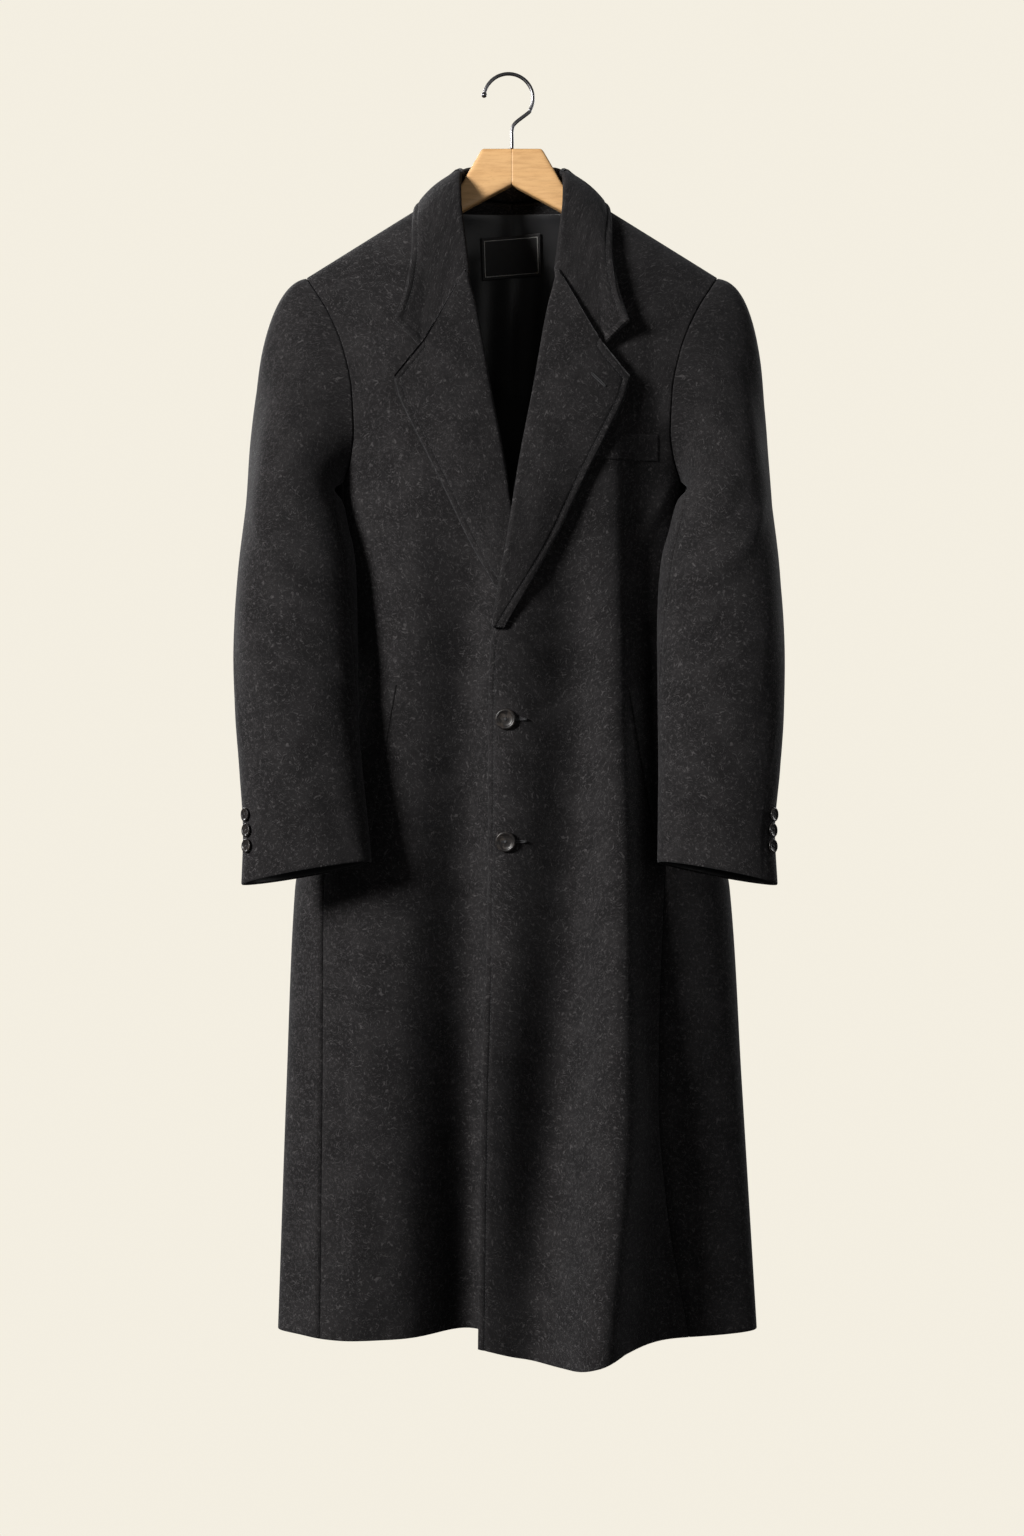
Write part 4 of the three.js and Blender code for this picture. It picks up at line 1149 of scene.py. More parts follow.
@dataclass(frozen=True)
class WoolFinish(Finish):
    """Felted charcoal wool with short curling grey fibres over a dark ground."""

    ground: Colour = (0.0075, 0.0069, 0.0073)
    middle: Colour = (0.0155, 0.0145, 0.0151)
    fibre: Colour = (0.105, 0.100, 0.102)

    def curls(self, tree: bpy.types.NodeTree, where: bpy.types.NodeSocket, scale: float, shift: float,
              narrow: float) -> bpy.types.NodeSocket:
        """Thin curling lines, broken into short lengths.

        Args:
            tree: Tree to add to.
            where: Coordinates on the cloth.
            scale: Features in a metre.
            shift: Shift that makes this layer unlike the others.
            narrow: Level above which a line shows; nearer 1 is thinner.

        Returns:
            1 on a fibre and 0 between them.
        """
        moved = shift_node(tree, where, (shift, shift * 0.7, 0.0))
        cloud = noise_node(tree, moved, scale, detail=1.5, roughness=0.5, distortion=0.6)
        waves = math_node(tree, "SINE", math_node(tree, "MULTIPLY", cloud, 58.0))
        lines = ramp_node(tree, waves, narrow, 1.0)
        short = noise_node(tree, shift_node(tree, where, (-shift, 0.3, 0.0)), scale * 1.7, detail=1.0)
        return math_node(tree, "MULTIPLY", lines, ramp_node(tree, short, 0.46, 0.6))

    def fill(self, tree: bpy.types.NodeTree) -> None:
        """Build the nodes of the wool.

        Args:
            tree: Empty node tree.
        """
        where = cloth_coordinates(tree)
        blotch = noise_node(tree, where, 26.0, detail=3.0, roughness=0.6)
        speckle = noise_node(tree, where, 420.0, detail=3.0, roughness=0.7)
        base = blend_node(tree, ramp_node(tree, blotch, 0.35, 0.68), self.ground, self.middle)
        base = blend_node(tree, math_node(tree, "MULTIPLY", ramp_node(tree, speckle, 0.45, 0.75), 0.55),
                          base, self.middle)
        long_curls = self.curls(tree, where, 95.0, 0.37, 0.55)
        short_curls = self.curls(tree, where, 170.0, 1.91, 0.5)
        both = math_node(tree, "MAXIMUM", long_curls, math_node(tree, "MULTIPLY", short_curls, 0.8))
        base = blend_node(tree, math_node(tree, "MULTIPLY", both, 0.42), base, self.fibre)
        height = math_node(tree, "ADD", math_node(tree, "MULTIPLY", both, 0.6), speckle)
        roughness = math_node(tree, "MULTIPLY_ADD", blotch, 0.16, 0.8)
        inputs = {
            "Base Color": base,
            "Roughness": roughness,
            "Specular IOR Level": 0.12,
            "Sheen Weight": 0.10,
            "Sheen Roughness": 0.55,
            "Sheen Tint": (0.62, 0.64, 0.68, 1.0),
        }
        close_surface(tree, inputs, height, distance=0.0006, strength=0.7)


@dataclass(frozen=True)
class SatinFinish(Finish):
    """Near-black satin lining with a fine twill and soft sheen."""

    ground: Colour = (0.010, 0.0102, 0.0115)
    light: Colour = (0.020, 0.0203, 0.022)

    def fill(self, tree: bpy.types.NodeTree) -> None:
        """Build the nodes of the satin.

        Args:
            tree: Empty node tree.
        """
        where = cloth_coordinates(tree)
        twill = add_node(tree, "TexWave", {"Vector": where, "Scale": 520.0, "Distortion": 0.4},
                         bands_direction="DIAGONAL").outputs["Fac"]
        cloud = noise_node(tree, where, 30.0, detail=2.0)
        base = blend_node(tree, math_node(tree, "MULTIPLY", cloud, 0.8), self.ground, self.light)
        inputs = {
            "Base Color": base,
            "Roughness": math_node(tree, "MULTIPLY_ADD", cloud, 0.12, 0.30),
            "Sheen Weight": 0.12,
            "Sheen Roughness": 0.4,
            "Anisotropic": 0.35,
        }
        close_surface(tree, inputs, twill, distance=0.0001, strength=0.35)


@dataclass(frozen=True)
class LabelFinish(Finish):
    """Black woven label with a thin pale border and nothing on it."""

    width: float = 0.066
    height: float = 0.046
    inset: float = 0.003
    line: float = 0.0007

    def border(
        self, tree: bpy.types.NodeTree, where: bpy.types.NodeSocket, extra: float
    ) -> bpy.types.NodeSocket:
        """1 inside the rectangle that lies a little in from the label's edge.

        Args:
            tree: Tree to add to.
            where: Coordinates on the label, from the middle of its upper edge.
            extra: How much further in than the inset.

        Returns:
            1 inside and 0 outside.
        """
        parts = add_node(tree, "SeparateXYZ", {0: where}).outputs
        room = self.inset + extra
        side = math_node(tree, "ABSOLUTE", parts[0])
        rise = math_node(tree, "ABSOLUTE", math_node(tree, "SUBTRACT", parts[1], self.height / 2))
        beside = math_node(tree, "LESS_THAN", side, self.width / 2 - room)
        return math_node(tree, "MULTIPLY", beside, math_node(tree, "LESS_THAN", rise, self.height / 2 - room))

    def fill(self, tree: bpy.types.NodeTree) -> None:
        """Build the nodes of the label.

        Args:
            tree: Empty node tree.
        """
        where = cloth_coordinates(tree)
        line = math_node(tree, "SUBTRACT", self.border(tree, where, 0.0), self.border(tree, where, self.line))
        waves = add_node(tree, "TexWave", {"Vector": where, "Scale": 900.0}, bands_direction="X")
        weave = waves.outputs["Fac"]
        half = math_node(tree, "MULTIPLY", weave, 0.5)
        ground = blend_node(tree, half, (0.008, 0.008, 0.009), (0.018, 0.018, 0.02))
        base = blend_node(tree, line, ground, (0.55, 0.55, 0.53))
        roughness = math_node(tree, "MULTIPLY_ADD", weave, 0.1, 0.5)
        inputs = {"Base Color": base, "Roughness": roughness}
        close_surface(tree, inputs, weave, distance=0.0001, strength=0.4)


@dataclass(frozen=True)
class ButtonFinish(Finish):
    """Dark polished horn-like resin with faint clouding."""

    ground: Colour = (0.010, 0.009, 0.009)
    cloud: Colour = (0.045, 0.038, 0.033)

    def fill(self, tree: bpy.types.NodeTree) -> None:
        """Build the nodes of the resin.

        Args:
            tree: Empty node tree.
        """
        where = object_coordinates(tree)
        stretched = shift_node(tree, where, (0.0, 0.0, 0.0), 0.6, (1.0, 3.0, 1.0))
        veins = noise_node(tree, stretched, 160.0, detail=4.0, roughness=0.6, distortion=1.2)
        fine = noise_node(tree, where, 900.0, detail=2.0)
        inputs = {
            "Base Color": blend_node(tree, ramp_node(tree, veins, 0.45, 0.72), self.ground, self.cloud),
            "Roughness": math_node(tree, "MULTIPLY_ADD", fine, 0.12, 0.3),
            "Specular IOR Level": 0.3,
            "Coat Weight": 0.06,
            "Coat Roughness": 0.18,
        }
        close_surface(tree, inputs, fine, distance=0.00005, strength=0.2)


@dataclass(frozen=True)
class BeechFinish(Finish):
    """Lacquered beech with fine grain along the arm and short flecks."""

    light: Colour = (0.76, 0.45, 0.195)
    dark: Colour = (0.58, 0.315, 0.125)

    def fill(self, tree: bpy.types.NodeTree) -> None:
        """Build the nodes of the wood.

        Args:
            tree: Empty node tree.
        """
        where = object_coordinates(tree)
        along = shift_node(tree, where, (0.0, 0.0, 0.0), 0.0, (0.12, 1.0, 1.0))
        grain = noise_node(tree, along, 260.0, detail=5.0, roughness=0.62, distortion=0.3)
        broad = noise_node(tree, along, 46.0, detail=2.0, distortion=0.8)
        drawn = shift_node(tree, where, (0.2, 0.0, 0.1), 0.0, (0.3, 1.0, 1.0))
        flecks = noise_node(tree, drawn, 800.0, detail=1.0)
        base = blend_node(tree, ramp_node(tree, grain, 0.38, 0.72), self.light, self.dark)
        base = blend_node(tree, math_node(tree, "MULTIPLY", broad, 0.35), base, (0.86, 0.58, 0.30))
        marks = math_node(tree, "MULTIPLY", ramp_node(tree, flecks, 0.62, 0.7), 0.3)
        base = blend_node(tree, marks, base, self.dark)
        inputs = {
            "Base Color": base,
            "Roughness": math_node(tree, "MULTIPLY_ADD", grain, 0.18, 0.34),
            "Coat Weight": 0.2,
            "Coat Roughness": 0.25,
        }
        close_surface(tree, inputs, grain, distance=0.0001, strength=0.25)


@dataclass(frozen=True)
class SteelFinish(Finish):
    """Grey drawn steel wire."""

    colour: Colour = (0.20, 0.20, 0.21)

    def fill(self, tree: bpy.types.NodeTree) -> None:
        """Build the nodes of the steel.

        Args:
            tree: Empty node tree.
        """
        where = object_coordinates(tree)
        scratches = noise_node(tree, where, 1400.0, detail=2.0)
        cloud = noise_node(tree, where, 120.0, detail=2.0)
        base = blend_node(tree, math_node(tree, "MULTIPLY", cloud, 0.6), self.colour, (0.16, 0.16, 0.17))
        inputs = {
            "Base Color": base,
            "Metallic": 1.0,
            "Roughness": math_node(tree, "MULTIPLY_ADD", scratches, 0.2, 0.22),
        }
        close_surface(tree, inputs, scratches, distance=0.00003, strength=0.2)


@dataclass(frozen=True)
class ThreadFinish(Finish):
    """Dark sewing thread with its ply twisted."""

    colour: Colour = (0.022, 0.0225, 0.025)

    def fill(self, tree: bpy.types.NodeTree) -> None:
        """Build the nodes of the thread.

        Args:
            tree: Empty node tree.
        """
        where = object_coordinates(tree)
        waves = add_node(tree, "TexWave", {"Vector": where, "Scale": 1500.0}, bands_direction="DIAGONAL")
        twist = waves.outputs["Fac"]
        base = blend_node(tree, math_node(tree, "MULTIPLY", twist, 0.5), self.colour, (0.06, 0.06, 0.064))
        roughness = math_node(tree, "MULTIPLY_ADD", twist, 0.1, 0.6)
        inputs = {"Base Color": base, "Roughness": roughness}
        close_surface(tree, inputs, twist, distance=0.0001, strength=0.4)


WOOL = WoolFinish("charcoal_wool")
SATIN_LINING = SatinFinish("black_satin")
LABEL = LabelFinish("woven_label")
BUTTON = ButtonFinish("dark_resin")
BEECH = BeechFinish("lacquered_beech")
STEEL = SteelFinish("drawn_steel")
THREAD = ThreadFinish("sewing_thread")


def near_line(points: Array, line: Array) -> Array:
    """Distance of points from a line of close points.

    Args:
        points: Grid of points.
        line: Points of the line.

    Returns:
        The distance of each point.
    """
    start, run = line[:-1], np.diff(line, axis=0)
    length = np.maximum((run**2).sum(axis=-1), 1e-9)
    best = np.full(points.shape[:-1], 1e9)
    for a, step, size in zip(start, run, length):
        share = np.clip(((points - a) * step).sum(axis=-1) / size, 0, 1)
        best = np.minimum(best, np.linalg.norm(points - a - share[..., None] * step, axis=-1))
    return best


def stitched_edge(away: Array) -> Array:
    """Push of a sewn edge: a groove where the thread draws the cloth in and a soft roll outside it.

    Args:
        away: Distance from the edge.

    Returns:
        How far the cloth stands out.
    """
    return 0.35 * bump(away - STITCH_INSET / 2, 2.6) - 0.95 * bump(away - STITCH_INSET, 1.3)


@dataclass
class StitchRuns:
    """Runs of short threads that lie in the grooves of the sewn edges."""

    pitch: float = 3.6
    length: float = 2.5
    radius: float = 0.28
    lines: list[tuple[Array, Array]] = field(default_factory=list)

    def add(self, line: Array, normals: Array) -> None:
        """Keep a line to sew along.

        Args:
            line: Points of the line.
            normals: The cloth's normal at each point.
        """
        self.lines.append((line, normals))

    def build(self, name: str) -> bpy.types.Object:
        """Make every thread of every line as one mesh.

        Args:
            name: Name of the object.

        Returns:
            The object.
        """
        vertices, faces, count = [], [], 0
        spots = np.linspace(-1, 1, 5)
        around = np.linspace(0, 2 * np.pi, 7)[:-1]
        size = len(around)
        for line, normals in self.lines:
            run = np.r_[0, np.cumsum(np.linalg.norm(np.diff(line, axis=0), axis=-1))]
            for middle in np.arange(self.pitch, run[-1] - self.pitch / 2, self.pitch):
                ends = [
                    np.array([np.interp(middle + s, run, line[:, k]) for k in range(3)])
                    for s in (-0.5, 0.5)
                ]
                along = (ends[1] - ends[0]) / max(np.linalg.norm(ends[1] - ends[0]), 1e-9)
                up = np.array([np.interp(middle, run, normals[:, k]) for k in range(3)])
                up -= along * (up @ along)
                up /= max(np.linalg.norm(up), 1e-9)
                beside = np.cross(along, up)
                centre = (ends[0] + ends[1]) / 2
                for spot in spots:
                    thin = self.radius * math.sqrt(max(1 - spot**2, 0.02))
                    arch = 0.22 * (1 - spot**2) + 0.04
                    core = centre + along * spot * self.length / 2 + up * arch
                    ring = np.cos(around)[:, None] * beside + np.sin(around)[:, None] * up
                    vertices.append(core + ring * thin)
                for k in range(len(spots) - 1):
                    for j in range(size):
                        a, b = count + k * size + j, count + k * size + (j + 1) % size
                        faces.append((a, b, b + size, a + size))
                count += len(spots) * size
        return make_mesh(name, np.concatenate(vertices), np.array(faces))


SEWN = StitchRuns()


@dataclass
class Body(Finishable):
    """The two fronts, the two sides and the two halves of the back."""

    side_columns: int = 27
    vent_step: float = 1.2
    allowance: float = 8.0

    def front(self, side: Side) -> ClothShell:
        """One front, from its edge to its side seam and up to the shoulder.

        Args:
            side: Which front.

        Returns:
            The cloth.
        """
        low = LOWER_HEIGHTS
        edge = EDGE.at("x", low) + COLLAR_TURN * smooth((low - BREAK_Z) / 60)
        t = UPPER_SHARES
        climb = np.clip(t / 0.66, 0, 1)
        rise = lerp(ARMPIT_Z, GORGE_Z, climb)
        past = np.clip((t - 0.66) / 0.34, 0, 1)
        inner_x = np.where(t < 0.66, EDGE.at("x", rise) + COLLAR_TURN, NECK_FRONT.along("x", past))
        inner_z = np.where(t < 0.66, rise, NECK_FRONT.along("z", past))
        start = np.stack([np.r_[edge, inner_x], np.r_[low, inner_z]], axis=-1)
        outer_x = np.r_[FRONT_SEAM.at(side.word, low), ARMHOLE_FRONT.along("x", t)]
        outer_z = np.r_[low, ARMHOLE_FRONT.along("z", t)]
        end = np.stack([outer_x, outer_z], axis=-1)
        across = np.array([side.value, 1.0])
        points = place_rows(lambda x, z: FORM.front_y(side, x, z), start * across, end * across, EDGE_SPOTS)
        points[..., 2] -= FORM.hang(side, points[..., 0], points[..., 2])
        points[..., 1] = FORM.front_y(side, points[..., 0], points[..., 2])
        points[-1, :, 1] = -SEAM / 2
        points = draw_in(points, SEAM / 2, False, True)
        shell = ClothShell("front_" + side.word, points, CLOTH, side.value)
        column = int(np.argmin(np.abs(EDGE_SPOTS - STITCH_INSET)))
        away = np.r_[EDGE_SPOTS, np.full(points.shape[1] - len(EDGE_SPOTS), 99.0)]
        below = 1 - smooth((points[:, :1, 2] - BREAK_Z - 10) / 40)
        shell.points += shell.normals * (stitched_edge(away)[None, :] * below)[..., None]
        sewn = points[:, 0, 2] < BREAK_Z + 4
        SEWN.add(shell.points[sewn, column], shell.normals[sewn, column])
        return shell

    def side_panel(self, side: Side) -> ClothShell:
        """One side panel, between the side seams and up to the armhole.

        Args:
            side: Which side.

        Returns:
            The cloth.
        """
        turns = np.linspace(-1, 1, self.side_columns)[None, :]
        z = LOWER_HEIGHTS[:, None]
        points = FORM.side_points(side, turns, z)
        points = draw_in(points, SEAM / 2, True, True)
        ahead, behind = [], []
        for reach, depth in ((0.5, 0.9), (self.allowance, 0.9)):
            x = points[:, :1, 0] - side.value * reach
            ahead.append(np.stack([x, FORM.front_y(side, x, z) + CLOTH + depth, z], axis=-1))
            x = points[:, -1:, 0] - side.value * reach
            behind.append(np.stack([x, FORM.back_y(x, z) - CLOTH - depth, z], axis=-1))
        points = np.concatenate([*ahead[::-1], points, *behind], axis=1)
        return ClothShell("side_" + side.word, points, CLOTH, side.value)

    def back(self, side: Side) -> ClothShell:
        """One half of the back, with the vent's lap.

        Args:
            side: Which half.

        Returns:
            The cloth.
        """
        low = LOWER_HEIGHTS
        lapped = np.where(low < VENT_Z - 30, -VENT_LAP, 0.0) if side is Side.LEFT else np.zeros(len(low))
        t = UPPER_SHARES
        climb = np.clip(t / 0.8, 0, 1)
        past = np.clip((t - 0.8) / 0.2, 0, 1)
        inner_x = np.where(t < 0.8, 0.0, NECK_BACK.along("x", past))
        inner_z = np.where(t < 0.8, lerp(ARMPIT_Z, NECK_BACK.rows[0][1], climb), NECK_BACK.along("z", past))
        start = np.stack([np.r_[lapped, inner_x], np.r_[low, inner_z]], axis=-1)
        outer_x = np.r_[BACK_SEAM.at("x", low), ARMHOLE_BACK.along("x", t)]
        end = np.stack([outer_x, np.r_[low, ARMHOLE_BACK.along("z", t)]], axis=-1)
        across = np.array([side.value, 1.0])
        points = place_rows(FORM.back_y, start * across, end * across, PLAIN_SPOTS)
        if side is Side.RIGHT:
            z, x = points[..., 2], np.abs(points[..., 0])
            under = smooth((VENT_Z + 25 - z) / 25) * (1 - smooth((x - VENT_LAP) / 60))
            points[..., 1] -= (CLOTH + self.vent_step) * under
        points[-1, :, 1] = SEAM / 2
        points = draw_in(points, SEAM / 2, True, True)
        forward = [
            points[-1] + np.array([0.0, -reach, -CLOTH - drop])
            for reach, drop in ((0.4, 0.9), (6.0, 4.0))
        ]
        points = np.concatenate([points, np.array(forward)])
        return ClothShell("back_" + side.word, points, CLOTH, -side.value)

    def build(self) -> None:
        """Make and dress every panel."""
        for side in Side:
            self.dress_cloth(self.front(side), WOOL, "wool", ["hanger_arm_" + side.word])
            self.dress_cloth(self.side_panel(side), WOOL, "wool", ["front_" + side.word, "back_" + side.word])
            self.dress_cloth(self.back(side), WOOL, "wool", ["hanger_arm_" + side.word])


SLEEVE_CREASES = {
    Side.LEFT: (
        Crease((40, -470), (86, -560), 2.6, 10, 5),
        Crease((60, -452), (104, -520), -2.2, 8, 4),
        Crease((70, -600), (112, -655), -2.4, 7, 4),
        Crease((50, -620), (108, -690), 2.0, 8, 5),
        Crease((30, -560), (70, -780), 2.2, 18, 8),
        Crease((300, -560), (276, -690), -2.4, 12, 5),
        Crease((310, -620), (270, -650), 1.8, 8, 3),
        Crease((12, -330), (26, -450), -2.0, 16, 4),
        Crease((340, -300), (330, -430), 1.6, 14, 4),
        Crease((64, -760), (72, -870), -1.6, 10, 3),
    ),
    Side.RIGHT: (
        Crease((36, -462), (92, -575), 2.8, 11, 6),
        Crease((66, -456), (108, -530), -2.4, 8, 4),
        Crease((60, -612), (114, -668), -2.2, 7, 4),
        Crease((44, -640), (104, -706), 1.9, 8, 5),
        Crease((26, -540), (62, -800), 2.4, 18, 8),
        Crease((296, -570), (272, -700), -2.2, 12, 5),
        Crease((8, -320), (30, -470), -2.2, 16, 5),
        Crease((338, -310), (326, -440), 1.8, 14, 4),
        Crease((60, -740), (84, -860), -1.5, 10, 3),
    ),
}


@dataclass
class Sleeves(Finishable):
    """Both sleeves, each of a top and an under piece, with the lining that shows in the cuff."""

    girth: float = 340.0
    lining_room: float = 1.0
    allowance: float = 8.0

    def tuck(self, side: Side, hole: Array, turn: Array) -> Array:
        """The sleeve's seam allowance, which lies under the edge of the armhole.

        Args:
            side: Which sleeve.
            hole: The armhole's ring.
            turn: The turn of each column.

        Returns:
            Rings from the edge of the allowance out to the seam.
        """
        under = smooth(1 - np.abs(turn - 0.5) / 0.14)
        over = smooth(1 - np.minimum(turn, 1 - turn) / 0.07)
        inward = np.stack([-side.value * under, -np.tanh(hole[:, 1] / 12) * (1 - under), -over], axis=-1)
        inward /= np.maximum(np.linalg.norm(inward, axis=-1, keepdims=True), 0.3)
        along = np.stack([-side.value * (1 - under), 0 * under, -under], axis=-1)
        sunk = hole + inward * (CLOTH + 0.9)
        return np.array([sunk + along * self.allowance, sunk + along * self.allowance / 2, sunk])

    def rings(self, side: Side) -> tuple[Array, Array, Array]:
        """The creased outer face of one sleeve.

        Args:
            side: Which sleeve.

        Returns:
            Rings of points, the turn of each column, and the normals.
        """
        rings, turn = FORM.sleeve_rings(side)
        normals = face_normals(rings, side.value, True)
        across, z = (turn * self.girth)[None, :], rings[..., 2]
        soft = press(SLEEVE_CREASES[side], across, z) + 0.9 * waver(across, z, 1.7 * side.value)
        free = 1 - smooth((turn - 0.3) / 0.08) * (1 - smooth((turn - 0.62) / 0.1))
        upper = smooth(np.arange(len(rings)) / 9)[:, None]
        creased = rings + normals * (soft * free[None, :] * upper)[..., None]
        whole = np.concatenate([self.tuck(side, FORM.armhole(side)[0], turn), creased])
        return whole, turn, face_normals(whole, side.value, True)

    def pieces(self, side: Side) -> list[ClothShell]:
        """Cut the sleeve at its two seams.

        Args:
            side: Which sleeve.

        Returns:
            The top and the under piece.
        """
        rings, turn, _ = self.rings(side)
        under = np.flatnonzero((turn >= INNER_SEAM - 1e-6) & (turn <= ELBOW_SEAM + 1e-6))
        behind = np.flatnonzero(turn >= ELBOW_SEAM - 1e-6)
        ahead = np.flatnonzero(turn <= INNER_SEAM + 1e-6)
        top = np.r_[behind, ahead]
        shells = []
        for name, columns in (("sleeve_top_", top), ("sleeve_under_", under)):
            points = draw_in(rings[:, columns], SEAM / 2, True, True)
            shells.append(ClothShell(name + side.word, points, CLOTH, side.value, from_last=True))
        return shells

    def cuff_lining(self, side: Side) -> ClothShell:
        """The end of the sleeve lining, a little inside the cuff.

        Args:
            side: Which sleeve.

        Returns:
            The cloth.
        """
        rings, _, normals = self.rings(side)
        inset = rings[-9:] - normals[-9:] * (CLOTH + self.lining_room)
        inset[-1] = lerp(inset[-1], inset[-2], 0.25)
        return ClothShell("cuff_lining_" + side.word, inset, SATIN, side.value, True)

    def build(self) -> None:
        """Make and dress every piece."""
        for side in Side:
            for shell in self.pieces(side):
                self.dress_cloth(shell, WOOL, "wool", ["hanger_arm_" + side.word, "front_" + side.word])
            self.dress_cloth(self.cuff_lining(side), SATIN_LINING, "lining", ["sleeve_top_" + side.word])


def inset_line(points: Array, away: Array, normals: Array, level: float) -> tuple[Array, Array]:
    """Find where each row of a grid first comes within a distance of an edge, from its first column on.

    Args:
        points: Rows of columns of points.
        away: Distance of each point from the edge.
        normals: The normal at each point.
        level: The distance to find.

    Returns:
        The points found, and the normals there.
    """
    found, upward = [], []
    for row, distance, normal in zip(points, away, normals):
        within = np.flatnonzero(distance < level)
        if len(within) and within[0] > 0:
            k = within[0]
            share = (distance[k - 1] - level) / max(distance[k - 1] - distance[k], 1e-9)
            found.append(lerp(row[k - 1], row[k], share))
            upward.append(normal[k])
    return np.array(found), np.array(upward)


@dataclass
class Lapels(Finishable):
    """Both lapels, rolled back from the front edges and sewn close to their free edges."""

    rows: int = 236
    turn_columns: int = 9
    face_columns: int = 74
    foot_z: float = -612.0
    head_z: float = -234.0
    notch_share: float = 0.62
    rest: float = 1.9
    allowance: float = 9.0
    least_tuck: float = 0.06

    def grid(self, side: Side) -> Array:
        """Points of one lapel's outer face.

        Args:
            side: Which lapel.

        Returns:
            The grid, from its foot up and from the roll out.
        """
        sign = side.value
        v = np.linspace(0, 1, self.rows)[:, None]
        roll_z = lerp(self.foot_z, self.head_z, v)
        roll_x = EDGE.at("x", roll_z) + COLLAR_TURN
        base = FORM.front_y(side, sign * roll_x, roll_z) - 0.7
        t = np.linspace(0, 1, self.turn_columns)[None, :]
        angle = np.pi * (0.5 + t)
        x = roll_x + COLLAR_TURN * np.cos(angle)
        y = base - COLLAR_TURN + COLLAR_TURN * np.sin(angle)
        turned = np.stack([sign * (x - 0.35 * (1 - t)), y, roll_z + 0 * t], axis=-1)
        lift = turned[:, -1:, 1] - FORM.front_y(side, sign * roll_x, roll_z)
        u = np.linspace(0, 1, self.face_columns)[None, 1:]
        x = lerp(roll_x, LAPEL_EDGE.along("x", v), u)
        z = lerp(roll_z, LAPEL_EDGE.along("z", v), u)
        bend = smooth((v - 0.6) / 0.4) * (1 - np.abs(u / self.notch_share - 1)) * (u < 2 * self.notch_share)
        x = x + bend * (NOTCH[0] - lerp(46.5, 127.0, self.notch_share)) * 0.9
        z = z + bend * (NOTCH[1] - lerp(-232.0, -339.0, self.notch_share)) * 0.9
        raised = lerp(lift, -lerp(5.5, 11.0, smooth(v)), u)
        raised = raised - 3.5 * np.sin(np.pi * u) * smooth((v - 0.25) * 3)
        raised = np.minimum(raised, -(FOLDED + self.rest))
        face = np.stack([sign * x, FORM.front_y(side, sign * x, z) + raised, z], axis=-1)
        whole = np.concatenate([turned, face], axis=1)
        share = np.r_[np.zeros(self.turn_columns), u[0]]
        reach = self.allowance * (1 - smooth(share / 0.55)) + self.least_tuck
        rows = [
            whole[-1] + np.stack([0 * reach, 0.28 * k * reach, k * reach], axis=-1)
            for k in (0.25, 0.5, 0.75, 1)
        ]
        return np.concatenate([whole, np.array(rows)])

    def shell(self, side: Side) -> ClothShell:
        """One lapel with its sewn edge.

        Args:
            side: Which lapel.

        Returns:
            The cloth.
        """
        shell = ClothShell("lapel_" + side.word, self.grid(side), FOLDED, side.value)
        first_free = self.turn_columns + int(self.notch_share * (self.face_columns - 1)) - 1
        edge = np.concatenate([shell.points[:, -1], shell.points[-1, first_free:][::-1]])[::3]
        away = near_line(shell.points, edge)
        for grid, gap, normals in (
            (shell.points, away, shell.normals),
            (shell.points[:, first_free:].swapaxes(0, 1), away[:, first_free:].T,
             shell.normals[:, first_free:].swapaxes(0, 1)),
        ):
            line, upward = inset_line(grid, gap, normals, STITCH_INSET)
            SEWN.add(line - upward * 0.8, upward)
        shell.points += shell.normals * stitched_edge(away)[..., None]
        return shell

    def build(self) -> None:
        """Make and dress both."""
        for side in Side:
            self.dress_cloth(self.shell(side), WOOL, "wool", ["front_" + side.word])


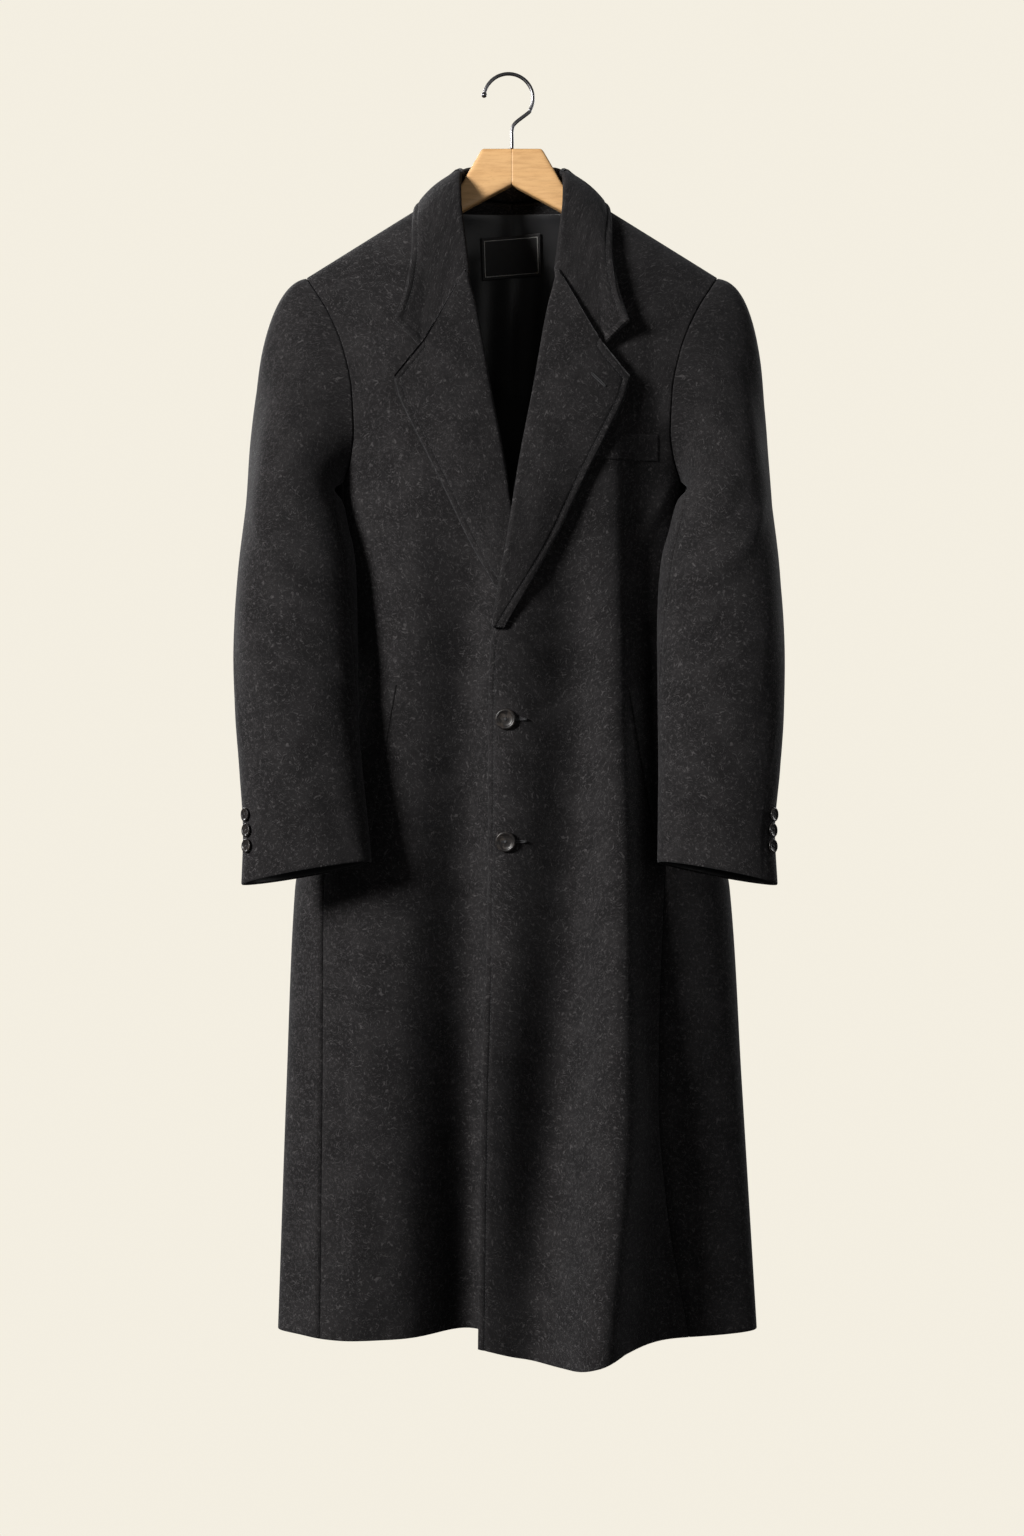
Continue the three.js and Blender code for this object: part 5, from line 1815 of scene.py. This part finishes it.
@dataclass
class Collar(Finishable):
    """The collar: a stand round the neck, a roll and a fall that ends in the notches."""

    stations: int = 190
    stand_rows: int = 9
    turn_rows: int = 9
    fall_rows: int = 46
    notch_share: float = 0.64

    def seam_y(self, t: Array, sx: Array, sz: Array) -> Array:
        """Depth of the neckline that the collar is sewn to.

        Args:
            t: Share of the way from the middle of the back to the gorge.
            sx: Place across the coat.
            sz: Height.

        Returns:
            y of the neckline.
        """
        behind = FORM.back_y(sx, sz)
        ahead = FORM.front_y(Side.LEFT, sx, sz)
        at_shoulder = smooth(np.abs(t - SHOULDER_STATION) / 0.015)
        return np.where(t <= SHOULDER_STATION, behind, ahead) * at_shoulder

    def half(self) -> Array:
        """Columns of the wearer's left half, from the middle of the back to the gorge."""
        t = np.linspace(0, 1, self.stations)
        read = {name: COLLAR.along(name, t) for name in COLLAR.names}
        up = np.stack([read["ux"], read["uy"], read["uz"]], axis=-1)
        up /= np.linalg.norm(up, axis=-1, keepdims=True)
        out = np.stack([read["ox"], read["oy"], read["oz"]], axis=-1)
        out -= up * (out * up).sum(axis=-1, keepdims=True)
        out /= np.linalg.norm(out, axis=-1, keepdims=True)
        y = self.seam_y(t, read["sx"], read["sz"])
        seam = np.stack([read["sx"], y, read["sz"]], axis=-1) + up * 2.6 - out * CLOTH
        rise = np.maximum(read["stand"] - COLLAR_TURN, 0.6)[:, None]
        top = seam + up * rise
        centre = top + out * COLLAR_TURN
        columns = [lerp(seam, top, k) for k in np.linspace(0, 1, self.stand_rows)[:-1]]
        for k in np.linspace(0, 1, self.turn_rows):
            turn = centre - out * COLLAR_TURN * math.cos(math.pi * k)
            columns.append(turn + up * COLLAR_TURN * math.sin(math.pi * k))
        start = columns[-1]
        end = np.stack([read["ex"], read["ey"], read["ez"]], axis=-1)
        bent = smooth((t - 0.72) / 0.28)
        for k in np.linspace(0, 1, self.fall_rows)[1:]:
            point = lerp(start, end, k) + out * (lerp(5, 2.5, t) * math.sin(math.pi * k))[:, None]
            reach = self.notch_share if k < self.notch_share else 1 - self.notch_share
            bend = bent * (1 - abs(k - self.notch_share) / reach)
            point[:, 0] += bend * (NOTCH[0] - lerp(start[:, 0], read["ex"], self.notch_share))
            point[:, 2] += bend * (NOTCH[1] + 1.5 - lerp(start[:, 2], read["ez"], self.notch_share))
            columns.append(point)
        return np.stack(columns, axis=1)

    def shell(self) -> ClothShell:
        """The whole collar with its sewn edge.

        Returns:
            The cloth.
        """
        left = self.half()
        right = left[:0:-1] * np.array([-1, 1, 1])
        points = np.concatenate([right, left])
        shell = ClothShell("collar", points, FOLDED, -1)
        first = self.stand_rows + self.turn_rows - 2 + int(self.notch_share * (self.fall_rows - 1)) + 1
        ends = shell.points[0, first:], shell.points[-1, first:][::-1]
        edge = np.concatenate([ends[0], shell.points[:, -1], ends[1]])[::3]
        away = near_line(shell.points, edge)
        line, upward = inset_line(shell.points, away, shell.normals, STITCH_INSET)
        SEWN.add(line - upward * 0.8, upward)
        shell.points += shell.normals * stitched_edge(away)[..., None]
        return shell

    def build(self) -> None:
        """Make and dress it."""
        rests_on = ["hanger_arm_left", "hanger_arm_right", "back_left", "back_right"]
        self.dress_cloth(self.shell(), WOOL, "wool", rests_on)


@dataclass
class Inside(Finishable):
    """The back lining with its soft lengthwise folds, and the blank label sewn to it."""

    rows: int = 190
    columns: int = 84
    hem_room: float = 28.0
    top_z: float = -142.0

    def depth_room(self, x: Array, z: Array) -> Array:
        """How far the lining lies from the outer face of the back.

        Args:
            x: Place across the coat.
            z: Height.

        Returns:
            The distance, along the back's normal.
        """
        pleat = 1.4 * bump(x, 9.0)
        folds = 1.1 * (np.sin(x / 9.5 + 0.8 * np.sin(z / 120)) ** 2) * smooth((self.top_z - 26 - z) / 60)
        return 2 * CLOTH + 1.9 + pleat + folds + np.where(z < VENT_Z + 30, 1.6, 0.0)

    def lining(self) -> ClothShell:
        """The back lining.

        Returns:
            The cloth.
        """
        z = np.linspace(HEM_Z + self.hem_room, self.top_z, self.rows)[:, None]
        narrow = np.where(z > ARMPIT_Z, lerp(158.0, 66.0, smooth((z + 450) / 300)), 999.0)
        wide = np.minimum(np.minimum(FORM.half_width(1, z), FORM.half_width(-1, z)) - 34, narrow)
        x = wide * np.linspace(-1, 1, self.columns)[None, :]
        outer = np.stack([x, FORM.back_y(x, z), z + 0 * x], axis=-1)
        normals = face_normals(outer, -1.0)
        room = self.depth_room(x, z + 0 * x)
        return ClothShell("back_lining", outer - normals * room[..., None], SATIN, -1)

    def label(self) -> ClothShell:
        """The blank neck label.

        Returns:
            The cloth.
        """
        u, v = np.meshgrid(np.linspace(0, 1, 40), np.linspace(0, 1, 30))
        x = lerp(lerp(-33.0, 33.0, u), lerp(-34.5, 31.5, u), v)
        z = lerp(lerp(-216.0, -211.0, u), lerp(-170.0, -165.0, u), v)
        room = 2 * CLOTH + 1.9 + 1.4 + SATIN + 2.0
        y = FORM.back_y(x, z) - room - 0.5 * np.sin(np.pi * u) * np.sin(np.pi * v)
        outer = np.stack([x, y, z], axis=-1)
        return ClothShell("neck_label", outer, 0.6, 1)

    def build(self) -> None:
        """Make and dress both."""
        self.dress_cloth(self.lining(), SATIN_LINING, "lining", ["back_left", "back_right", "collar"])
        self.dress_cloth(self.label(), LABEL, "label", ["back_lining"])


@dataclass
class Pockets(Finishable):
    """The welts: one on the left chest and one on each hip."""

    thick: float = 1.8
    room: float = -0.7

    def welt(self, name: str, side: Side, corners: tuple[tuple[float, float], ...]) -> ClothShell:
        """A welt that lies on a front.

        Args:
            name: Its node.
            side: Which front.
            corners: Lower first, lower second, upper first and upper second, as (x, z).

        Returns:
            The cloth.
        """
        width = math.dist(corners[0], corners[1])
        height = math.dist(corners[0], corners[2])
        u, v = np.meshgrid(np.linspace(0, 1, int(width / 1.8)), np.linspace(0, 1, int(height / 1.8)))
        (ax, az), (bx, bz), (cx, cz), (dx, dz) = corners
        x = side.value * lerp(lerp(ax, bx, u), lerp(cx, dx, u), v)
        z = lerp(lerp(az, bz, u), lerp(cz, dz, u), v)
        face = np.stack([x, FORM.front_y(side, x, z), z], axis=-1)
        normals = face_normals(face, side.value)
        return ClothShell(name, face + normals * (self.thick + self.room), self.thick, side.value)

    def build(self) -> None:
        """Make and dress the three."""
        chest = ((64.0, -433.0), (158.0, -429.0), (64.0, -405.0), (158.0, -401.0))
        hip = ((152.0, -832.0), (188.0, -822.0), (124.0, -672.0), (158.0, -662.0))
        self.dress_cloth(self.welt("chest_welt", Side.LEFT, chest), WOOL, "wool", ["front_left"])
        for side in Side:
            shell = self.welt("hip_welt_" + side.word, side, hip)
            self.dress_cloth(shell, WOOL, "wool", ["front_" + side.word])


@dataclass
class Buttons(Finishable):
    """Two large front buttons and three small ones on each cuff, each with four holes and crossed threads."""

    front_width: float = 22.5
    cuff_width: float = 15.0
    front_places: tuple[tuple[float, float], ...] = ((-6.5, -709.0), (-6.5, -840.0))
    around: int = 72
    hole_spot: float = 0.15
    hole_size: float = 0.062

    def outline(self) -> tuple[Array, Array]:
        """Radius and height of the turned profile, as shares of the radius, from the middle of the face."""
        corners = (
            (0.0, 0.17), (0.30, 0.165), (0.46, 0.17), (0.56, 0.185), (0.64, 0.205), (0.70, 0.235),
            (0.76, 0.268), (0.83, 0.287), (0.90, 0.282), (0.955, 0.255), (0.985, 0.21), (1.0, 0.16),
            (0.985, 0.11), (0.95, 0.07),
            (0.85, 0.03), (0.62, 0.0), (0.0, 0.0),
        )
        radius, height = np.array(corners).T
        fine = np.concatenate([np.linspace(0, 0.32, 34), np.linspace(0.34, 1, 26)])
        top = np.interp(fine[:-1], radius[:12], height[:12])
        return np.r_[fine[:-1], radius[11:]], np.r_[top, height[11:]]

    def button(self, name: str, place: Array, normal: Array, width: float, spin: float) -> bpy.types.Object:
        """Turn a button on its profile and sink its four holes.

        Args:
            name: Name of the object.
            place: Middle of its underside.
            normal: The way it faces.
            width: Its diameter.
            spin: How far its holes are turned.

        Returns:
            The object.
        """
        beside, upward = self.frame_on(normal, spin)
        radius, height = self.outline()
        angle = np.linspace(0, 2 * np.pi, self.around + 1)[:-1]
        r, a = np.meshgrid(radius, angle, indexing="ij")
        rise = np.repeat(height[:, None], len(angle), axis=1)
        face = np.arange(len(radius))[:, None] < len(radius) - 6
        for quarter in range(4):
            turn = math.pi / 4 + quarter * math.pi / 2
            away = np.hypot(r * np.cos(a) - self.hole_spot * math.cos(turn),
                            r * np.sin(a) - self.hole_spot * math.sin(turn))
            rise = rise - 0.12 * face * (1 - smooth((away - self.hole_size + 0.015) / 0.03))
        half = width / 2
        grid = place + half * (r[..., None] * (np.cos(a)[..., None] * beside + np.sin(a)[..., None] * upward))
        grid = grid + half * rise[..., None] * normal
        poles = [row.mean(axis=0, keepdims=True) for row in (grid[0], grid[-1])]
        vertices = [poles[0], grid[1:-1].reshape(-1, 3), poles[1]]
        rings, count = len(radius) - 2, len(angle)
        index = 1 + np.arange(rings * count).reshape(rings, count)
        following = np.roll(index, -1, axis=1)
        corners = [index[:-1], following[:-1], following[1:], index[1:]]
        quads = np.stack(corners, axis=-1).reshape(-1, 4).tolist()
        last = 1 + rings * count
        quads += [[0, int(b), int(a)] for a, b in zip(index[0], following[0])]
        quads += [[last, int(a), int(b)] for a, b in zip(index[-1], following[-1])]
        return make_mesh(name, np.concatenate(vertices), quads)

    def frame_on(self, normal: Array, spin: float) -> tuple[Array, Array]:
        """Two directions across the button.

        Args:
            normal: The way it faces.
            spin: Turn about the normal.

        Returns:
            The two directions.
        """
        beside = np.cross(np.array([0.0, 0.0, 1.0]), normal)
        beside /= np.linalg.norm(beside)
        upward = np.cross(normal, beside)
        across = beside * math.cos(spin) + upward * math.sin(spin)
        return across, upward * math.cos(spin) - beside * math.sin(spin)

    def threads(self, name: str, place: Array, normal: Array, width: float, spin: float) -> bpy.types.Object:
        """The threads that cross from hole to hole over a button's middle.

        Args:
            name: Name of the object.
            place: Middle of its underside.
            normal: The way it faces.
            width: Its diameter.
            spin: How far its holes are turned.

        Returns:
            The object.
        """
        beside, upward = self.frame_on(normal, spin)
        half = width / 2
        bars = StitchRuns(radius=width * 0.018)
        tubes = []
        for turn in (math.pi / 4, 3 * math.pi / 4):
            along = beside * math.cos(turn) + upward * math.sin(turn)
            across = np.cross(normal, along)
            for offset in (-0.036, 0.0, 0.036):
                share = np.linspace(-1, 1, 11)[:, None]
                arch = 0.205 - 0.13 * np.abs(share) ** 5
                tubes.append(place + half * (share * 0.165 * along + offset * across + arch * normal))
        return tube_mesh(name, tubes, bars.radius, 7)

    def build(self) -> None:
        """Make and dress every button and its threads."""
        spots = []
        for number, (x, z) in enumerate(self.front_places, 1):
            spots.append((f"front_button_{number}", *front_place(Side.LEFT, x, z), 0.7, self.front_width))
        for side in Side:
            for number, z in enumerate(CUFF_BUTTON_HEIGHTS, 1):
                name = f"cuff_button_{side.word}_{number}"
                spots.append((name, *sleeve_place(side, z, CUFF_BUTTON_TURN), 1.0, self.cuff_width))
        for number, (name, point, normal, room, width) in enumerate(spots):
            place = point + normal * room
            spin = 0.35 * math.sin(2.7 * number)
            node = name
            item = self.button("dressed_" + name, place, normal, width, spin)
            self.dress(item, BUTTON, node, "button")
            thread = self.threads("threads_" + name, place, normal, width, spin)
            self.dress(thread, THREAD, "", "button")


@dataclass
class Buttonholes(Finishable):
    """Worked buttonholes: a purled ring round a dark slit, two at the front edge, one on the left lapel."""

    half_length: float = 13.0
    slit: float = 0.9
    purl: float = 0.75
    stitches: int = 60

    def ring(self, name: str, middle: Array, along: Array, normal: Array, half: float) -> bpy.types.Object:
        """One worked ring.

        Args:
            name: Name of the object.
            middle: Middle of the slit, on the cloth.
            along: Direction of the slit.
            normal: The cloth's normal.
            half: Half of the slit's length.

        Returns:
            The object.
        """
        along = along - normal * (along @ normal)
        along /= np.linalg.norm(along)
        beside = np.cross(normal, along)
        angle = np.linspace(0, 2 * np.pi, 8 * self.stitches + 1)[:-1]
        far = np.sign(np.cos(angle)) * np.abs(np.cos(angle)) ** 0.55
        wide = np.sign(np.sin(angle)) * np.abs(np.sin(angle)) ** 0.55
        core = middle + normal * 0.25 + np.outer(far * half, along) + np.outer(wide * self.slit, beside)
        swell = self.purl * (1 + 0.16 * np.sin(angle * self.stitches))
        around = np.linspace(0, 2 * np.pi, 9)[:-1]
        run = np.roll(core, -1, axis=0) - np.roll(core, 1, axis=0)
        away = np.cross(run, normal)
        away /= np.linalg.norm(away, axis=-1, keepdims=True)
        rings = core[:, None] + swell[:, None, None] * (
            np.cos(around)[None, :, None] * away[:, None] + 0.7 * np.sin(around)[None, :, None] * normal)
        rows, columns = rings.shape[:2]
        grid = np.arange(rows * columns).reshape(rows, columns)
        right, below = np.roll(grid, -1, axis=1), np.roll(grid, -1, axis=0)
        faces = np.stack([grid, right, np.roll(right, -1, axis=0), below], axis=-1).reshape(-1, 4)
        return make_mesh(name, rings.reshape(-1, 3), faces)

    def build(self) -> None:
        """Make and dress the three."""
        for number, (x, z) in enumerate(Buttons().front_places, 1):
            point, normal = front_place(Side.LEFT, x + 9.0, z)
            name, along = f"front_buttonhole_{number}", np.array([1.0, 0, 0])
            item = self.ring(name, point, along, normal, self.half_length)
            self.dress(item, THREAD, "", "wool")
        lapel = Lapels().grid(Side.LEFT)
        flat = lapel.reshape(-1, 3)
        near = int(np.argmin(np.hypot(flat[:, 0] - 92.5, flat[:, 2] + 348.0) + 1e3 * (flat[:, 1] > -20)))
        row, column = divmod(near, lapel.shape[1])
        normal = face_normals(lapel, 1.0)[row, column]
        item = self.ring("lapel_buttonhole", flat[near], np.array([15.0, 0.0, -14.0]), normal, 10.0)
        self.dress(item, THREAD, "", "wool")


def front_place(side: Side, x: float, z: float) -> tuple[Array, Array]:
    """A point of a front's outer face.

    Args:
        side: Which front.
        x: Distance from the centre, towards its own side.
        z: Height.

    Returns:
        The point and its outward normal.
    """
    def point(across: float, height: float) -> Array:
        return np.array([side.value * across, float(FORM.front_y(side, side.value * across, height)), height])

    normal = np.cross(point(x + 1, z) - point(x - 1, z), point(x, z + 1) - point(x, z - 1)) * side.value
    return point(x, z), normal / np.linalg.norm(normal)


def sleeve_place(side: Side, z: float, turn: float) -> tuple[Array, Array]:
    """A point of a sleeve's outer face.

    Args:
        side: Which sleeve.
        z: Height of its ring.
        turn: Turns round the sleeve.

    Returns:
        The point and its outward normal.
    """
    def point(place: float, height: float) -> Array:
        down = (BICEPS_Z - height) / (BICEPS_Z - CUFF_Z)
        return FORM.sleeve_section(side, height, np.array([place]), down)[0]

    normal = np.cross(point(turn + 0.01, z) - point(turn - 0.01, z), point(turn, z + 1) - point(turn, z - 1))
    normal *= -side.value
    return point(turn, z), normal / np.linalg.norm(normal)


def tube_mesh(name: str, lines: list[Array], radius: float, sides: int) -> bpy.types.Object:
    """Closed tubes along lines, as one mesh.

    Args:
        name: Name of the object.
        lines: Points of each line.
        radius: Radius of the tubes.
        sides: Faces round each.

    Returns:
        The object.
    """
    vertices, faces, count = [], [], 0
    around = np.linspace(0, 2 * np.pi, sides + 1)[:-1]
    for line in lines:
        run = np.gradient(line, axis=0)
        run /= np.linalg.norm(run, axis=-1, keepdims=True)
        helper = np.array([0.31, 0.17, 0.94]) if abs(run[0][2]) < 0.9 else np.array([0.94, 0.17, 0.31])
        beside = helper - run[0] * (helper @ run[0])
        rings = []
        for point, ahead in zip(line, run):
            beside = beside - ahead * (beside @ ahead)
            beside = beside / np.linalg.norm(beside)
            upward = np.cross(ahead, beside)
            circle = np.cos(around)[:, None] * beside + np.sin(around)[:, None] * upward
            rings.append(point + radius * circle)
        grid = count + np.arange(len(line) * sides).reshape(len(line), sides)
        right = np.roll(grid, -1, axis=1)
        quads = np.stack([grid[:-1], right[:-1], right[1:], grid[1:]], axis=-1).reshape(-1, 4).tolist()
        faces += quads + [grid[0].tolist(), grid[-1][::-1].tolist()]
        vertices += rings
        count += len(line) * sides
    return make_mesh(name, np.concatenate(vertices), faces)


@dataclass
class Hanger(Finishable):
    """The wooden hanger in two arms that meet in the middle, with its steel hook."""

    stations: tuple[tuple[float, ...], ...] = (
        (0.15, -81, -121, 0, 8),
        (33, -81, -138.5, 0, 8),
        (56, -121, -151, 0, 8.5),
        (72, -137.5, -161, 0, 9),
        (90, -146.2, -173, 0, 10),
        (130, -171.2, -198, -0.5, 12),
        (170, -195.7, -223, -1, 13.5),
        (198, -213.6, -241, -1, 13.5),
        (206, -223, -238, -1, 8),
    )
    corner: float = 0.9
    sharpness: float = 5.5
    hook_radius: float = 27.0
    wire: float = 2.0
    ball: float = 3.1

    def arm(self, side: Side) -> bpy.types.Object:
        """One arm, rounded along its edges.

        Args:
            side: Which arm.

        Returns:
            The object.
        """
        keys, top, bottom, depth, half = np.array(self.stations).T
        x = np.concatenate([np.array([0.0, 0.3, 0.6, 1.1, 2.0]), np.linspace(3, 205.9, 150)])

        def read(values: Array) -> Array:
            near = [np.interp(x + step, keys, values) for step in (-2 * self.corner, -self.corner, 0,
                                                                   self.corner, 2 * self.corner)]
            return np.mean(near, axis=0)

        angle = np.linspace(0, 2 * np.pi, 57)[:-1]
        round_y = np.sign(np.cos(angle)) * np.abs(np.cos(angle)) ** (2 / self.sharpness)
        round_z = np.sign(np.sin(angle)) * np.abs(np.sin(angle)) ** (2 / self.sharpness)
        joint = 1 - 0.03 * np.exp(-((x / 0.5) ** 2))
        tip = np.sqrt(np.clip(1 - np.clip((x - 200) / 6.6, 0, 1) ** 2, 0.03, 1))
        high, low = read(top), read(bottom)
        middle, tall = (high + low) / 2, (high - low) / 2 * joint * lerp(1, tip, 0.6)
        y = read(depth)[:, None] + (read(half) * joint * tip)[:, None] * round_y
        z = middle[:, None] + tall[:, None] * round_z
        rings = np.stack([side.value * x[:, None] + 0 * y, y, z], axis=-1)
        rows, columns = rings.shape[:2]
        grid = np.arange(rows * columns).reshape(rows, columns)
        right = np.roll(grid, -1, axis=1)
        faces = np.stack([grid[:-1], right[:-1], right[1:], grid[1:]], axis=-1).reshape(-1, 4).tolist()
        faces += [grid[0].tolist(), grid[-1][::-1].tolist()]
        item = make_mesh("beech_arm_" + side.word, rings.reshape(-1, 3), faces)
        item.data.set_sharp_from_angle(angle=math.radians(50))
        return item

    def hook(self) -> bpy.types.Object:
        """The bent wire, from inside the wood to the ball on its end.

        Returns:
            The object.
        """
        centre = np.array([-3.9, 0.0, -math.sqrt(25**2 - 3.9**2)])
        corners = [(0, 0, -80.6), (0, 0, -70), (0, 0, -60), (3.5, 0, -52)]
        for turn in np.radians(np.arange(-36, 173, 8)):
            corners.append(tuple(centre + self.hook_radius * np.array([math.cos(turn), 0, math.sin(turn)])))
        corners = np.array(corners, dtype=float)
        padded = np.concatenate([[2 * corners[0] - corners[1]], corners, [2 * corners[-1] - corners[-2]]])
        line = []
        for a, b, c, d in zip(padded, padded[1:], padded[2:], padded[3:]):
            for s in np.linspace(0, 1, 9)[:-1]:
                line.append(0.5 * (2 * b + (c - a) * s + (2 * a - 5 * b + 4 * c - d) * s**2
                                   + (3 * b - a - 3 * c + d) * s**3))
        line.append(padded[-2])
        line = np.array(line)
        item = tube_mesh("steel_hook", [line], self.wire, 20)
        work = bmesh.new()
        work.from_mesh(item.data)
        tip = bmesh.ops.create_uvsphere(work, u_segments=24, v_segments=16, radius=self.ball * MM)
        bmesh.ops.translate(work, verts=tip["verts"], vec=Vector(line[-1] * MM))
        work.to_mesh(item.data)
        work.free()
        item.data.shade_smooth()
        return item

    def build(self) -> None:
        """Make and dress the arms and the hook."""
        for side in Side:
            self.dress(self.arm(side), BEECH, "hanger_arm_" + side.word, "beech")
        self.dress(self.hook(), STEEL, "hook", "steel")


@dataclass
class Studio:
    """A pale floor and a pale bowl round the coat, soft lights and the camera."""

    pale: Colour = (0.93, 0.885, 0.78)
    floor_z: float = -1.75
    bowl_radius: float = 7.0

    def backdrop_finish(self) -> bpy.types.Material:
        """Matt pale paint that is also lit from within, so it is even from every side."""
        material = bpy.data.materials.new("pale_paint")
        material.use_nodes = True
        tree = material.node_tree
        tree.nodes.clear()
        glow = add_node(tree, "Emission", {"Color": (*self.pale, 1.0), "Strength": 0.97})
        add_node(tree, "OutputMaterial", {"Surface": glow.outputs[0]})
        return material

    def backdrop(self) -> None:
        """The floor and the bowl round it."""
        finish = self.backdrop_finish()
        turn = np.linspace(0, 2 * np.pi, 97)[:-1]
        climb = np.linspace(0, np.pi / 2, 25)
        wall = [(0.02, 0.0), (0.6, 0.0), (0.93, 0.0)]
        wall += [(0.93 + 0.07 * math.sin(a), 0.07 * (1 - math.cos(a))) for a in climb]
        wall += [(math.cos(a), 0.07 + math.sin(a)) for a in np.linspace(0.05, np.pi / 2 - 0.02, 30)]
        rings = [[(r * math.cos(a), r * math.sin(a), h) for a in turn] for r, h in wall]
        points = np.array(rings) * self.bowl_radius
        points[..., 2] += self.floor_z
        rows, columns = points.shape[:2]
        grid = np.arange(rows * columns).reshape(rows, columns)
        right = np.roll(grid, -1, axis=1)
        faces = np.stack([grid[:-1], right[:-1], right[1:], grid[1:]], axis=-1).reshape(-1, 4).tolist()
        faces += [grid[0].tolist(), grid[-1].tolist()]
        bowl = make_mesh("pale_floor", points.reshape(-1, 3) / MM, faces)
        bowl.data.materials.append(finish)
        bowl.visible_diffuse = False
        bowl.visible_glossy = False
        bowl.visible_shadow = False

    def light(self, name: str, place: Colour, aim: Colour, size: float, power: float, tint: Colour) -> None:
        """One large soft lamp.

        Args:
            name: Name of the lamp.
            place: Where it stands.
            aim: What it points at.
            size: Side of its square face.
            power: Its power in watts.
            tint: Its colour.
        """
        data = bpy.data.lights.new(name, "AREA")
        data.shape = "SQUARE"
        data.size = size
        data.energy = power
        data.color = tint
        lamp = bpy.data.objects.new(name, data)
        lamp.location = place
        lamp.rotation_euler = (Vector(aim) - Vector(place)).to_track_quat("-Z", "Y").to_euler()
        bpy.context.scene.collection.objects.link(lamp)

    def lights(self) -> None:
        """Key, fill and rim lamps, and a low even light from all round."""
        warm, plain = (1.0, 0.975, 0.95), (1.0, 0.99, 0.98)
        self.light("key", (-4.3, -3.7, 1.1), (0.0, 0.0, -0.65), 1.3, 520.0, warm)
        self.light("fill", (2.4, -3.6, -0.3), (0.0, 0.0, -0.7), 2.4, 18.0, plain)
        self.light("back_left", (-2.6, 2.6, 1.0), (0.0, 0.0, -0.6), 1.8, 130.0, plain)
        self.light("back_right", (2.6, 2.6, 0.4), (0.0, 0.0, -0.8), 2.0, 60.0, plain)
        world = bpy.data.worlds.new("room")
        world.use_nodes = True
        world.node_tree.nodes["Background"].inputs[0].default_value = (1.0, 0.985, 0.96, 1.0)
        world.node_tree.nodes["Background"].inputs[1].default_value = 0.05
        bpy.context.scene.world = world

    def camera(self) -> None:
        """The camera, level and straight in front, as the photograph was taken."""
        data = bpy.data.cameras.new("camera")
        data.lens = 55.4
        data.sensor_width = 36.0
        view = bpy.data.objects.new("camera", data)
        view.location = (0.0, -2.6, -0.7612)
        view.rotation_euler = (math.radians(90), 0.0, 0.0)
        bpy.context.scene.collection.objects.link(view)
        bpy.context.scene.camera = view

    def build(self) -> None:
        """Set everything up."""
        bpy.context.scene.view_settings.view_transform = "Standard"
        self.backdrop()
        self.lights()
        self.camera()


@dataclass
class Sewing(Finishable):
    """Every run of stitches that the panels asked for."""

    def build(self) -> None:
        """Make and dress the stitches."""
        self.dress(SEWN.build("edge_stitches"), THREAD, "", "wool")


def write_sizes() -> None:
    """Define a helper that turns a box into plain lists; nothing calls it and nothing is written."""
    def plain(box) -> list:
        return [[float(v) for v in corner] for corner in box]


def main() -> None:
    """Build the coat, the hanger and the studio in order."""
    logging.basicConfig(level=logging.INFO, format="%(name)s: %(message)s")
    Studio().build()
    Hanger().build()
    Body().build()
    Sleeves().build()
    Lapels().build()
    Collar().build()
    Inside().build()
    Pockets().build()
    Buttons().build()
    Buttonholes().build()
    Sewing().build()
    write_sizes()


if __name__ == "__main__":
    main()
